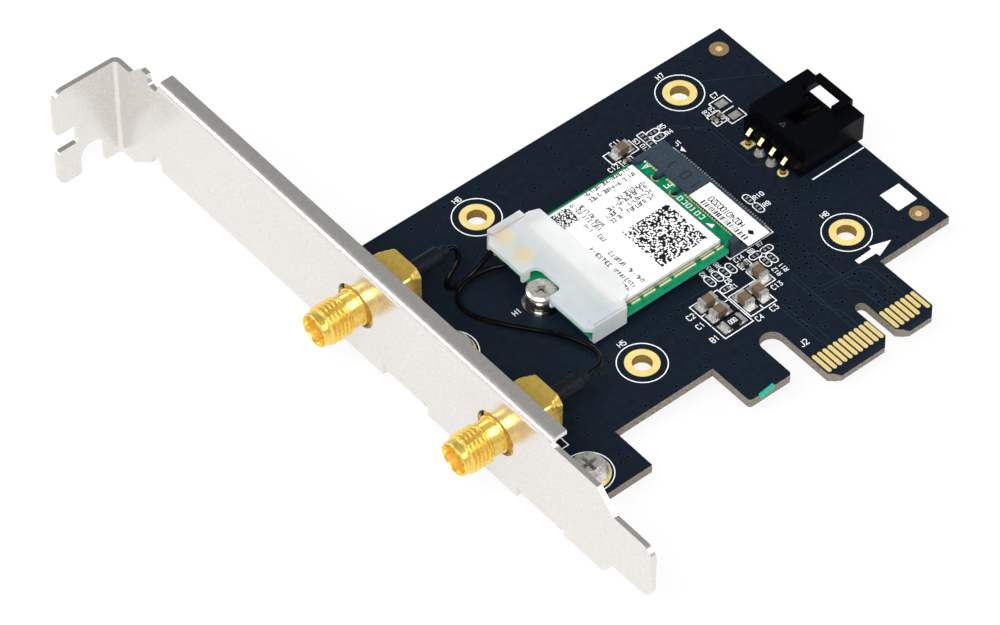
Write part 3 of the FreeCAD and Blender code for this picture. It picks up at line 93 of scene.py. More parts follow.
PHOTO_WIDE = 1000
CAMERA_TURN, CAMERA_RISE, CAMERA_ROLL = -40.19, 48.24, 0.26
CAMERA_AIM = Vector((-40.26, 39.11, 0.0))
CAMERA_FAR = 762.4
FOCAL_PIXELS = 5339.0
SENSOR_WIDE = 36.0


def make_camera():
    """The photograph's camera, from its turn, rise and roll in degrees."""
    turn, rise = math.radians(CAMERA_TURN), math.radians(CAMERA_RISE)
    back = Vector((math.sin(turn) * math.cos(rise), -math.cos(turn) * math.cos(rise), math.sin(rise)))
    right = Vector((math.cos(turn), math.sin(turn), 0.0))
    up = back.cross(right)
    roll = math.radians(CAMERA_ROLL)
    side = right * math.cos(roll) + up * math.sin(roll)
    top = up * math.cos(roll) - right * math.sin(roll)
    data = bpy.data.cameras.new("camera")
    data.sensor_width = SENSOR_WIDE
    data.lens = FOCAL_PIXELS / PHOTO_WIDE * SENSOR_WIDE
    data.clip_start, data.clip_end = 0.05, 10.0
    camera = bpy.data.objects.new("camera", data)
    bpy.context.scene.collection.objects.link(camera)
    place = (CAMERA_AIM + back * CAMERA_FAR) * MM
    camera.matrix_world = Matrix((
        (side.x, top.x, back.x, place.x), (side.y, top.y, back.y, place.y),
        (side.z, top.z, back.z, place.z), (0, 0, 0, 1)))
    bpy.context.scene.camera = camera


make_camera()


# Materials

NOISE_LOW, NOISE_HIGH = 0.3, 0.7
WALL_SLOPE, WALL_ROUGH = 0.6, 0.85
BOARD_SPECULAR = 0.15


def new_material(name):
    """A material with nodes, its tree and its shader."""
    material = bpy.data.materials.new(name)
    material.use_nodes = True
    tree = material.node_tree
    shader = tree.nodes["Principled BSDF"]
    return material, tree, shader


def noise(tree, scale, detail=3.0, stretch=(1, 1, 1)):
    """Object-space noise; scale is in features per millimetre, about."""
    place = tree.nodes.new("ShaderNodeTexCoord")
    shape = tree.nodes.new("ShaderNodeMapping")
    shape.inputs["Scale"].default_value = [scale / MM * s for s in stretch]
    grain = tree.nodes.new("ShaderNodeTexNoise")
    grain.inputs["Scale"].default_value = 1.0
    grain.inputs["Detail"].default_value = detail
    tree.links.new(place.outputs["Object"], shape.inputs["Vector"])
    tree.links.new(shape.outputs["Vector"], grain.inputs["Vector"])
    return grain.outputs["Fac"]


def ramp(tree, value, stops):
    """Turn a value into a colour or grey through stops of (position, colour)."""
    node = tree.nodes.new("ShaderNodeValToRGB")
    ends = node.color_ramp.elements
    while len(ends) < len(stops):
        ends.new(0.5)
    for end, (position, colour) in zip(ends, stops):
        end.position = position
        end.color = (*colour, 1.0) if hasattr(colour, "__len__") else (colour, colour, colour, 1.0)
    tree.links.new(value, node.inputs["Fac"])
    return node.outputs["Color"]


def bump(tree, shader, value, strength, distance):
    """Raise the surface by a value, up to a distance in millimetres."""
    node = tree.nodes.new("ShaderNodeBump")
    node.inputs["Strength"].default_value = strength
    node.inputs["Distance"].default_value = distance * MM
    tree.links.new(value, node.inputs["Height"])
    tree.links.new(node.outputs["Normal"], shader.inputs["Normal"])


def maths(tree, operation, *values):
    """The result of an operation on values, each of them a socket or a number."""
    node = tree.nodes.new("ShaderNodeMath")
    node.operation = operation
    for socket, value in zip(node.inputs, values):
        if isinstance(value, float):
            socket.default_value = value
        else:
            tree.links.new(value, socket)
    return node.outputs["Value"]


def surface(name, dark, light, rough, metal, grain, stretch=(1, 1, 1), relief=0.15, depth=0.02,
            **sockets):
    """A material with two close colours, a roughness range and fine relief, all from noise."""
    material, tree, shader = new_material(name)
    value = noise(tree, grain, stretch=stretch)
    colour = ramp(tree, value, [(NOISE_LOW, dark), (NOISE_HIGH, light)])
    gloss = ramp(tree, value, [(NOISE_LOW, rough[0]), (NOISE_HIGH, rough[1])])
    tree.links.new(colour, shader.inputs["Base Color"])
    tree.links.new(gloss, shader.inputs["Roughness"])
    shader.inputs["Metallic"].default_value = metal
    for socket, number in sockets.items():
        shader.inputs[socket.replace("_", " ")].default_value = number
    bump(tree, shader, noise(tree, grain * 3, 2.0, stretch), relief, depth)
    return material


def board_material(name, face_dark, face_light, edge_dark, edge_light, rough, metal=0.0):
    """One colour on level faces, as of solder mask, and another on upright walls: bare fibre on the
    boards, painted shade in the plated holes.
    """
    material, tree, shader = new_material(name)
    face = ramp(tree, noise(tree, 0.8, 4.0), [(NOISE_LOW, face_dark), (NOISE_HIGH, face_light)])
    edge = ramp(tree, noise(tree, 4.0, 4.0, (1, 1, 2.5)), [(0.35, edge_dark), (0.65, edge_light)])
    normal = tree.nodes.new("ShaderNodeNewGeometry")
    split = tree.nodes.new("ShaderNodeSeparateXYZ")
    tree.links.new(normal.outputs["True Normal"], split.inputs["Vector"])
    wall = maths(tree, "LESS_THAN", maths(tree, "ABSOLUTE", split.outputs["Z"]), WALL_SLOPE)
    mix = tree.nodes.new("ShaderNodeMix")
    mix.data_type = "RGBA"
    gloss = tree.nodes.new("ShaderNodeMix")
    tree.links.new(wall, mix.inputs["Factor"])
    tree.links.new(face, mix.inputs["A"])
    tree.links.new(edge, mix.inputs["B"])
    tree.links.new(mix.outputs["Result"], shader.inputs["Base Color"])
    tree.links.new(wall, gloss.inputs["Factor"])
    gloss.inputs["A"].default_value = rough
    gloss.inputs["B"].default_value = WALL_ROUGH
    tree.links.new(gloss.outputs["Result"], shader.inputs["Roughness"])
    shader.inputs["Specular IOR Level"].default_value = BOARD_SPECULAR
    shader.inputs["Metallic"].default_value = metal
    bump(tree, shader, noise(tree, 3.0, 3.0), 0.12, 0.02)
    return material


# The milky clip's painted light, in millimetres: where the painted white glow over the paper label
# begins and is full, and how far the painted warm glow over the gold plugs reaches

LABEL_GLOW_SPAN, LABEL_GLOW_SHARE = (-31.2, -29.4), 0.9
PLUG_GLOW_INSET, PLUG_GLOW_REACH, PLUG_GLOW_SHARE = 1.7, (2.3, 0.7), 0.75
LABEL_GLOW_COLOUR, PLUG_GLOW_COLOUR = (1.0, 1.0, 1.0), (1.0, 0.80, 0.44)


def tint(tree, colour, value, span, share, other):
    """Mix a share of another colour in as a value in metres runs over a span in millimetres."""
    reach = tree.nodes.new("ShaderNodeMapRange")
    ends = {"From Min": span[0] * MM, "From Max": span[1] * MM, "To Min": 0.0, "To Max": share}
    for socket, number in ends.items():
        reach.inputs[socket].default_value = number
    mix = tree.nodes.new("ShaderNodeMix")
    mix.data_type = "RGBA"
    mix.inputs["B"].default_value = (*other, 1.0)
    tree.links.new(value, reach.inputs["Value"])
    tree.links.new(reach.outputs["Result"], mix.inputs["Factor"])
    tree.links.new(colour, mix.inputs["A"])
    return mix.outputs["Result"]


def clip_material():
    """Milky plastic with painted light: a painted white glow over the paper label and a painted warm
    glow over the two gold antenna sockets.
    """
    material = surface("milky_plastic", (0.82, 0.88, 0.93), (0.95, 0.97, 0.98), (0.30, 0.40), 0.0, 0.5,
                       relief=0.03, depth=0.01, Transmission_Weight=0.60, IOR=1.3)
    tree = material.node_tree
    base = tree.nodes["Principled BSDF"].inputs["Base Color"]
    colour = base.links[0].from_socket
    place = tree.nodes.new("ShaderNodeTexCoord").outputs["Object"]
    split = tree.nodes.new("ShaderNodeSeparateXYZ")
    tree.links.new(place, split.inputs["Vector"])
    # Painted light: the white label beneath shows whiter through the clip
    colour = tint(tree, colour, split.outputs["X"], LABEL_GLOW_SPAN, LABEL_GLOW_SHARE, LABEL_GLOW_COLOUR)
    # Painted light: a warm glow where each gold plug lies beneath the clip
    for plug in ("antenna_plug_1", "antenna_plug_2"):
        corner, other = low(plug), high(plug)
        away = tree.nodes.new("ShaderNodeVectorMath")
        away.operation = "DISTANCE"
        away.inputs[1].default_value = [(corner[0] + PLUG_GLOW_INSET) * MM, (corner[1] + other[1]) / 2 * MM,
                                        CLIP_TOP * MM]
        tree.links.new(place, away.inputs[0])
        colour = tint(tree, colour, away.outputs["Value"], PLUG_GLOW_REACH, PLUG_GLOW_SHARE, PLUG_GLOW_COLOUR)
    tree.links.new(colour, base)
    return material


# One material for each slot of the record

MATERIALS = {
    "bracket_steel": surface(
        "bracket_steel", (0.70, 0.68, 0.65), (0.79, 0.77, 0.74), (0.19, 0.28), 0.85, 5.0, (1, 0.25, 1),
        relief=0.03, depth=0.01),
    "black_board": board_material(
        "solder_mask", (0.0036, 0.0078, 0.0148), (0.0060, 0.0118, 0.0205), (0.10, 0.088, 0.07),
        (0.31, 0.275, 0.23), 0.42),
    "green_board": board_material(
        "green_mask", (0.0, 0.15, 0.06), (0.004, 0.24, 0.10), (0.01, 0.25, 0.14), (0.03, 0.40, 0.24),
        0.35),
    "contact_gold": surface(
        "contact_gold", (0.88, 0.68, 0.24), (0.98, 0.80, 0.38), (0.34, 0.46), 0.45, 3.0, relief=0.1,
        depth=0.01),
    "jack_brass": surface(
        "jack_brass", (0.80, 0.53, 0.09), (0.93, 0.67, 0.17), (0.15, 0.24), 0.72, 1.5, relief=0.08,
        depth=0.01),
    "screw_steel": surface(
        "screw_steel", (0.64, 0.63, 0.59), (0.82, 0.805, 0.77), (0.16, 0.30), 0.72, 2.0, relief=0.12,
        depth=0.02),
    "white_plastic": surface(
        "white_plastic", (0.74, 0.68, 0.52), (0.82, 0.77, 0.64), (0.4, 0.5), 0.0, 3.0),
    "black_sleeve": surface(
        "black_sleeve", (0.004, 0.005, 0.007), (0.009, 0.011, 0.015), (0.4, 0.5), 0.0, 2.0, relief=0.3,
        depth=0.02, Specular_IOR_Level=0.08),
    "black_cable": surface(
        "black_cable", (0.0007, 0.0007, 0.0010), (0.0018, 0.0018, 0.0022), (0.13, 0.22), 0.0, 3.0,
        relief=0.6, depth=0.03, Specular_IOR_Level=0.1),
    "shield_steel": surface(
        "shield_steel", (0.52, 0.49, 0.44), (0.68, 0.65, 0.60), (0.30, 0.42), 0.8, 1.2, relief=0.1,
        depth=0.01),
    "label_paper": surface(
        "label_paper", (0.84, 0.84, 0.85), (0.90, 0.90, 0.90), (0.55, 0.70), 0.0, 4.0, relief=0.05,
        depth=0.005),
    "slate_plastic": surface(
        "slate_plastic", (0.022, 0.036, 0.053), (0.040, 0.058, 0.078), (0.45, 0.60), 0.0, 2.5,
        relief=0.3, depth=0.02, Specular_IOR_Level=0.15),
    "tinned_metal": surface(
        "tinned_metal", (0.50, 0.49, 0.47), (0.80, 0.79, 0.77), (0.25, 0.45), 0.75, 2.5, relief=0.35,
        depth=0.04),
    "clear_plastic": clip_material(),
    "black_plastic": surface(
        "black_plastic", (0.0008, 0.0010, 0.0018), (0.002, 0.0023, 0.0034), (0.28, 0.42), 0.0, 2.0,
        relief=0.15, depth=0.02, Specular_IOR_Level=0.07),
    "capacitor_ceramic": surface(
        "capacitor_ceramic", (0.10, 0.068, 0.036), (0.165, 0.113, 0.063), (0.5, 0.7), 0.0, 3.0,
        relief=0.3, depth=0.02),
    "resistor_black": surface(
        "resistor_black", (0.006, 0.006, 0.008), (0.012, 0.012, 0.014), (0.3, 0.5), 0.0, 3.0,
        Specular_IOR_Level=0.3),
}

# Nodes that look unlike the others in their slot: the header pins and the standoff in darker copies
# that paint their shade, and the plated holes with painted shade on their walls

OWN_MATERIALS = {
    # Painted shade: a darkened copy of gold for the pins among the header's dark shroud
    "header_pins": surface(
        "pin_gold_painted_shade", (0.22, 0.17, 0.09), (0.44, 0.35, 0.20), (0.12, 0.2), 1.0, 2.0, relief=0.05,
        depth=0.01),
    # Plated holes: gold rims, with painted shade in dark brown on the hole walls
    "plated_holes": board_material(
        "ring_gold_painted_shade", (0.96, 0.72, 0.22), (1.0, 0.84, 0.36), (0.20, 0.12, 0.03), (0.46, 0.30, 0.08),
        0.40, 0.35),
    # Painted shade: turned steel made dark for the standoff in the shadow under the module
    "module_standoff": surface(
        "turned_steel_painted_shade", (0.22, 0.215, 0.20), (0.46, 0.45, 0.43), (0.12, 0.2), 1.0, 2.0, (1, 1, 6),
        relief=0.1, depth=0.01),
}

for part in frame["record"]["subparts"]:
    node = nodes[part["node"]]
    node.data.materials.clear()
    node.data.materials.append(OWN_MATERIALS.get(part["node"], MATERIALS[part["material_slot"]]))


# Flat marks: thin solids gathered into one mesh

MITRE_LEAST = 0.45
RING_STEP = 7.5
UPWARD = 90.0


class Marks:
    """Thin raised shapes; x and y in millimetres, from a base height up by a thickness."""

    def __init__(self, base, thick=SKIN):
        self.base, self.top = base, base + thick
        self.points, self.faces = [], []

    def slab(self, outline):
        """One filled polygon, given counter-clockwise."""
        first, count = len(self.points), len(outline)
        self.points += [(x, y, self.base) for x, y in outline] + [(x, y, self.top) for x, y in outline]
        self.faces.append([first + count + i for i in range(count)])
        for i in range(count):
            j = (i + 1) % count
            self.faces.append([first + i, first + j, first + count + j, first + count + i])

    def box(self, x0, y0, x1, y1):
        """A filled rectangle between two corners."""
        self.slab([(x0, y0), (x1, y0), (x1, y1), (x0, y1)])

    def band(self, path, width, closed=False):
        """A line of even width along a path, with mitred corners."""
        count = len(path)
        sides = []
        for i, (x, y) in enumerate(path):
            before = path[i - 1] if i or closed else None
            after = path[(i + 1) % count] if i < count - 1 or closed else None
            ways = []
            for a, b in ((before, (x, y)), ((x, y), after)):
                if a is not None and b is not None:
                    span = math.hypot(b[0] - a[0], b[1] - a[1]) or 1.0
                    ways.append(((b[0] - a[0]) / span, (b[1] - a[1]) / span))
            across = [sum(-way[1] for way in ways), sum(way[0] for way in ways)]
            span = math.hypot(*across) or 1.0
            across = [part / span for part in across]
            cosine = max(MITRE_LEAST, -across[0] * ways[0][1] + across[1] * ways[0][0])
            reach = width / 2 / cosine
            sides.append(((x + across[0] * reach, y + across[1] * reach),
                          (x - across[0] * reach, y - across[1] * reach)))
        first = len(self.points)
        for left, right in sides:
            for height in (self.base, self.top):
                self.points += [(left[0], left[1], height), (right[0], right[1], height)]
        for i in range(count if closed else count - 1):
            a, b = first + 4 * i, first + 4 * ((i + 1) % count)
            self.faces += [[a + 2, a + 3, b + 3, b + 2], [a, a + 2, b + 2, b],
                           [a + 1, b + 1, b + 3, a + 3]]
        if not closed:
            last = first + 4 * (count - 1)
            self.faces += [[first, first + 1, first + 3, first + 2],
                           [last, last + 2, last + 3, last + 1]]

    def ring(self, x, y, radius, width, start=0.0, stop=360.0):
        """A circle, or the part of it between two angles in degrees."""
        steps = max(8, int((stop - start) / RING_STEP))
        full = stop - start >= 360.0
        count = steps if full else steps + 1
        angles = [math.radians(start + (stop - start) * i / steps) for i in range(count)]
        self.band([(x + radius * math.cos(a), y + radius * math.sin(a)) for a in angles], width, full)

    def disc(self, x, y, radius, steps=16):
        """A filled circle."""
        angles = [2 * math.pi * i / steps for i in range(steps)]
        self.slab([(x + radius * math.cos(a), y + radius * math.sin(a)) for a in angles])

    def stadium(self, x, y, half_long, half_wide, width, along):
        """The rounded outline around a pair of small pads."""
        path = []
        for side, start in ((1, -90), (-1, 90)):
            for i in range(9):
                a = math.radians(start + 22.5 * i)
                path.append((side * (half_long - half_wide) + half_wide * math.cos(a),
                             half_wide * math.sin(a)))
        if along == "y":
            path = [(-b, a) for a, b in path]
        self.band([(x + a, y + b) for a, b in path], width, True)

    def write(self, text, x, y, tall, pen, turn=0.0, wide=0.55, pitch=0.78):
        """Plain stroke lettering from its left middle; turn is the reading direction in degrees."""
        c, s = math.cos(math.radians(turn)), math.sin(math.radians(turn))
        for number, letter in enumerate(text):
            for path in GLYPHS[letter]:
                spots = [((number * pitch + a / 4 * wide) * tall, (b / 6 - 0.5) * tall)
                         for a, b in path]
                self.band([(x + c * a - s * b, y + s * a + c * b) for a, b in spots], pen)

    def piece(self, name, material):
        """Put all the shapes so far in the scene as one piece."""
        data = bpy.data.meshes.new(name)
        data.from_pydata([Vector(point) * MM for point in self.points], [], self.faces)
        data.materials.append(material)
        return add(name, data)


GLYPHS = {
    "0": [[(1, 6), (0, 5), (0, 1), (1, 0), (3, 0), (4, 1), (4, 5), (3, 6), (1, 6)]],
    "1": [[(1, 5), (2, 6), (2, 0)]],
    "2": [[(0, 5), (1, 6), (3, 6), (4, 5), (4, 4), (0, 0), (4, 0)]],
    "3": [[(0, 6), (4, 6), (2, 3.6), (3.2, 3.4), (4, 2.4), (4, 1), (3, 0), (1, 0), (0, 1)]],
    "4": [[(3, 0), (3, 6), (0, 2), (4, 2)]],
    "5": [[(4, 6), (0, 6), (0, 3.5), (3, 3.5), (4, 2.5), (4, 1), (3, 0), (1, 0), (0, 1)]],
    "6": [[(4, 5), (3, 6), (1, 6), (0, 5), (0, 1), (1, 0), (3, 0), (4, 1), (4, 2.5), (3, 3.5),
           (0, 3.5)]],
    "7": [[(0, 6), (4, 6), (1.5, 0)]],
    "8": [[(1, 3.2), (0, 4.2), (0, 5), (1, 6), (3, 6), (4, 5), (4, 4.2), (3, 3.2), (1, 3.2), (0, 2.2),
           (0, 1), (1, 0), (3, 0), (4, 1), (4, 2.2), (3, 3.2)]],
    "9": [[(0, 1), (1, 0), (3, 0), (4, 1), (4, 5), (3, 6), (1, 6), (0, 5), (0, 3.5), (1, 2.5),
           (4, 2.5)]],
    "A": [[(0, 0), (2, 6), (4, 0)], [(0.8, 2), (3.2, 2)]],
    "B": [[(0, 0), (0, 6), (3, 6), (4, 5), (4, 4), (3, 3.1), (0, 3.1)],
          [(3, 3.1), (4, 2), (4, 1), (3, 0), (0, 0)]],
    "C": [[(4, 5), (3, 6), (1, 6), (0, 5), (0, 1), (1, 0), (3, 0), (4, 1)]],
    "E": [[(4, 6), (0, 6), (0, 0), (4, 0)], [(0, 3), (3, 3)]],
    "H": [[(0, 0), (0, 6)], [(4, 0), (4, 6)], [(0, 3), (4, 3)]],
    "J": [[(4, 6), (4, 1), (3, 0), (1, 0), (0, 1)]],
    "R": [[(0, 0), (0, 6), (3, 6), (4, 5), (4, 4), (3, 3), (0, 3)], [(2, 3), (4, 0)]],
}


def add(name, data):
    """Put a mesh or curve in the scene as a piece of the card."""
    piece = bpy.data.objects.new(name, data)
    bpy.context.scene.collection.objects.link(piece)
    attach(piece, "root")
    return piece


silk_white = surface("silk_white", (0.80, 0.81, 0.82), (0.92, 0.93, 0.94), (0.55, 0.7), 0.0, 6.0,
                     relief=0.1, depth=0.004)
print_black = surface("print_black", (0.004, 0.004, 0.005), (0.012, 0.012, 0.014), (0.5, 0.7), 0.0, 6.0,
                      relief=0.1, depth=0.004, Specular_IOR_Level=0.1)
copper_trace = surface("copper_trace", (0.010, 0.018, 0.028), (0.017, 0.028, 0.042), (0.40, 0.5), 0.0,
                       1.0, relief=0.1, depth=0.01, Specular_IOR_Level=0.15)
# Painted shade: the dark discs that stand for the insides of the via holes
via_hole_shade = surface("via_hole_shade", (0.0012, 0.002, 0.004), (0.003, 0.005, 0.008), (0.3, 0.4), 0.0, 2.0,
                   relief=0.1, depth=0.01, Specular_IOR_Level=0.1)
bare_fibre = surface("bare_fibre", (0.16, 0.105, 0.045), (0.30, 0.21, 0.10), (0.4, 0.6), 0.0, 3.0,
                     relief=0.2, depth=0.01)
teal_ink = surface("teal_ink", (0.0, 0.30, 0.22), (0.01, 0.42, 0.32), (0.5, 0.6), 0.0, 3.0)
grey_mark = surface("grey_mark", (0.03, 0.033, 0.036), (0.06, 0.064, 0.07), (0.5, 0.6), 0.0, 6.0)
pale_gold = surface("pale_gold", (0.80, 0.68, 0.42), (0.92, 0.84, 0.62), (0.3, 0.45), 0.6, 4.0,
                    relief=0.2, depth=0.01)
# Painted shade for the floors of the screws' cross recesses
cross_shade = surface("cross_shade", (0.07, 0.055, 0.03), (0.22, 0.18, 0.10), (0.4, 0.5), 0.3, 4.0)
dark_mark = surface("dark_mark", (0.008, 0.010, 0.014), (0.016, 0.019, 0.025), (0.5, 0.6), 0.0, 6.0)


# The two antenna leads, on the same points as their CAD tubes

LEAD_WIDE = 0.81
LEAD_ROUND, LEAD_STEPS, LEAD_ORDER = 6, 10, 3
LEAD_ONE = [(-42.1, 48.8, 6.4), (-41.05, 48.8, 6.4), (-40.35, 48.4, 5.45), (-40.8, 47.8, 3.9),
            (-43.55, 47.1, 2.55), (-43.6, 46.95, 0.65), (-41.75, 46.5, 0.65), (-39.6, 46.15, 1.7),
            (-37.2, 46.35, 2.8), (-35.8, 46.7, 3.2), (-34.9, 46.7, 3.2)]
LEAD_TWO = [(-42.1, 18.0, 6.4), (-40.0, 18.0, 6.4), (-37.8, 19.8, 5.45), (-36.9, 23.4, 4.15),
            (-38.0, 28.9, 2.7), (-41.5, 34.2, 2.0), (-44.6, 39.9, 1.4), (-44.7, 43.7, 1.3),
            (-42.8, 45.45, 1.6), (-39.8, 45.35, 2.35), (-37.1, 44.4, 2.9), (-35.95, 43.475, 3.2),
            (-34.795, 43.144, 3.2)]


def make_lead(name, points, node):
    """A round lead along its points, in place of its CAD tube."""
    data = bpy.data.curves.new(name, "CURVE")
    data.dimensions = "3D"
    data.bevel_depth = LEAD_WIDE / 2 * MM
    data.bevel_resolution = LEAD_ROUND
    data.resolution_u = LEAD_STEPS
    line = data.splines.new("NURBS")
    line.points.add(len(points) - 1)
    for spot, point in zip(line.points, points):
        spot.co = (*(Vector(point) * MM), 1.0)
    line.order_u = LEAD_ORDER
    line.use_endpoint_u = True
    data.materials.append(MATERIALS["black_cable"])
    lead = add(name, data)
    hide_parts(node)
    return lead


make_lead("lead_one", LEAD_ONE, "coax_lead_1")
lead_two = make_lead("lead_two", LEAD_TWO, "coax_lead_2")


# The two threaded antenna jacks, each one turned shape with a nut-like block and four legs.
# Places along a jack start at the inside of the bracket's plate and grow towards the card.

PLATE_INSIDE = -58.0
JACK_HIGH = 6.4
JACK_MIDDLES = (48.8, 18.0)
AROUND = 96
MOUTH = [(1.3, 0.0), (1.3, 2.05), (-2.1, 2.05), (-2.1, 0.9), (-5.7, 0.9), (-6.6, 2.2), (-8.05, 2.3),
         (-8.3, 2.42), (-8.3, 2.6), (-8.2, 2.675), (-7.45, 2.675), (-7.4, 2.62)]
THREAD_START, THREAD_STOP, THREAD_STEPS = -7.25, -3.3, 90
THREAD_PITCH, THREAD_FADE = 0.7, 0.3
TOOTH_SLOPE, TOOTH_SINK = 2.6, 0.15
CREST, ROOT = 3.1, 2.7
COLLAR = [(-1.45, 2.75), (-1.4, 2.68), (-1.28, 2.68), (-1.25, 2.97), (-1.2, 3.0), (-0.01, 3.0)]
BLOCK_LONG, BLOCK_HALF = 8.4, 3.5
CONE_LONG, CONE_END, CONE_STEPS = 2.6, 4.15, 12
NECK_END, NECK = 8.85, 1.5
LEG_PLACES, LEG_SIDES = (0.75, BLOCK_LONG - 3.0), (-2.75, 2.75)
LEG_FOOT, LEG_HALF, LEG_SUNK = -2.47, 0.5, 0.05
SMOOTH_BELOW = 24


def thread_radius(x, angle):
    """The thread's outside at a place along the jack, a helix that fades in and out at its ends."""
    phase = (x / THREAD_PITCH + angle / (2 * math.pi)) % 1.0
    tooth = max(0.0, min(1.0, TOOTH_SLOPE * (0.5 - abs(phase - 0.5)) - TOOTH_SINK))
    fade = max(0.0, min(1.0, (x - THREAD_START) / THREAD_FADE, (THREAD_STOP - x) / THREAD_FADE))
    return ROOT + (CREST - ROOT) * tooth * fade


def block_radius(x, angle):
    """The outside of the square block, whose inner end is turned down like a nut's."""
    square = BLOCK_HALF / max(abs(math.cos(angle)), abs(math.sin(angle)))
    corner = BLOCK_HALF * math.sqrt(2)
    turn = corner + (CONE_END - corner) * max(0.0, (x - BLOCK_LONG + CONE_LONG) / CONE_LONG)
    return min(square, corner, turn)


def jack_stops():
    """Places along the jack, each with a radius or with a function that gives it."""
    stops = MOUTH + [(THREAD_START - 0.05, 2.62)]
    for i in range(THREAD_STEPS + 1):
        stops.append((THREAD_START + (THREAD_STOP - THREAD_START) * i / THREAD_STEPS, thread_radius))
    stops += [(THREAD_STOP + 0.05, 2.6), (THREAD_STOP + 0.15, 2.75)] + COLLAR + [(0.0, block_radius)]
    for i in range(CONE_STEPS + 1):
        stops.append((BLOCK_LONG - CONE_LONG * (1 - i / CONE_STEPS), block_radius))
    return stops + [(BLOCK_LONG, NECK), (NECK_END, NECK), (NECK_END, 0.0)]


def make_jack(name, node, middle):
    """One jack as a mesh of rings around its axis, with its legs through the board."""
    stops = jack_stops()
    points, faces = [], []
    for x, radius in stops:
        for k in range(AROUND):
            angle = 2 * math.pi * (k + 0.5) / AROUND
            r = radius(x, angle) if callable(radius) else radius
            points.append((PLATE_INSIDE + x, middle + r * math.cos(angle),
                           JACK_HIGH + r * math.sin(angle)))
    for i in range(len(stops) - 1):
        for k in range(AROUND):
            j = (k + 1) % AROUND
            near, far = i * AROUND, (i + 1) * AROUND
            faces.append([near + k, near + j, far + j, far + k])
    smooth = len(faces)
    corners = [(-LEG_HALF, -LEG_HALF), (LEG_HALF, -LEG_HALF), (LEG_HALF, LEG_HALF),
               (-LEG_HALF, LEG_HALF)]
    for x in LEG_PLACES:
        for y in LEG_SIDES:
            first = len(points)
            for z in (LEG_FOOT, JACK_HIGH - BLOCK_HALF + LEG_SUNK):
                points += [(PLATE_INSIDE + x + a, middle + y + b, z) for a, b in corners]
            faces += [[first + 3, first + 2, first + 1, first],
                      [first + 4, first + 5, first + 6, first + 7]]
            faces += [[first + a, first + (a + 1) % 4, first + 4 + (a + 1) % 4, first + 4 + a]
                      for a in range(4)]
    data = bpy.data.meshes.new(name)
    data.from_pydata([Vector(point) * MM for point in points], [], faces)
    data.materials.append(MATERIALS["jack_brass"])
    for number in range(smooth):
        data.polygons[number].use_smooth = True
    data.set_sharp_from_angle(angle=math.radians(SMOOTH_BELOW))
    jack = add(name, data)
    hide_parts(node)


make_jack("jack_far", "antenna_jack_1", JACK_MIDDLES[0])
make_jack("jack_near", "antenna_jack_2", JACK_MIDDLES[1])


# White print on the board

HOLES = [(-30.95, 18.86), (-30.95, 55.46), (8.25, 55.46), (8.25, 18.86)]
EAR_SCREWS = [(-50.0, 8.4), (-50.0, 37.8)]
PAIRS = [("y", 1.7, 32.85), ("y", 1.72, 30.7), ("y", -13.3, 24.35), ("y", -11.8, 24.4),
         ("y", -10.5, 24.35), ("y", -9.25, 24.35), ("x", -12.4, 21.8), ("x", -4.9, 23.95),
         ("x", -2.8, 23.85), ("y", -4.55, 22.15), ("y", -3.35, 22.1), ("x", -0.17, 51.86),
         ("x", 0.0, 50.63)]
PEN, THIN_PEN, BOLD_PEN = 0.16, 0.15, 0.22
WORD_PEN, TURNED_PEN, WORD_SHARE = 0.12, 0.11, 0.82
HOLE_RING = 3.7
PAIR_LONG, PAIR_WIDE = 1.06, 0.56


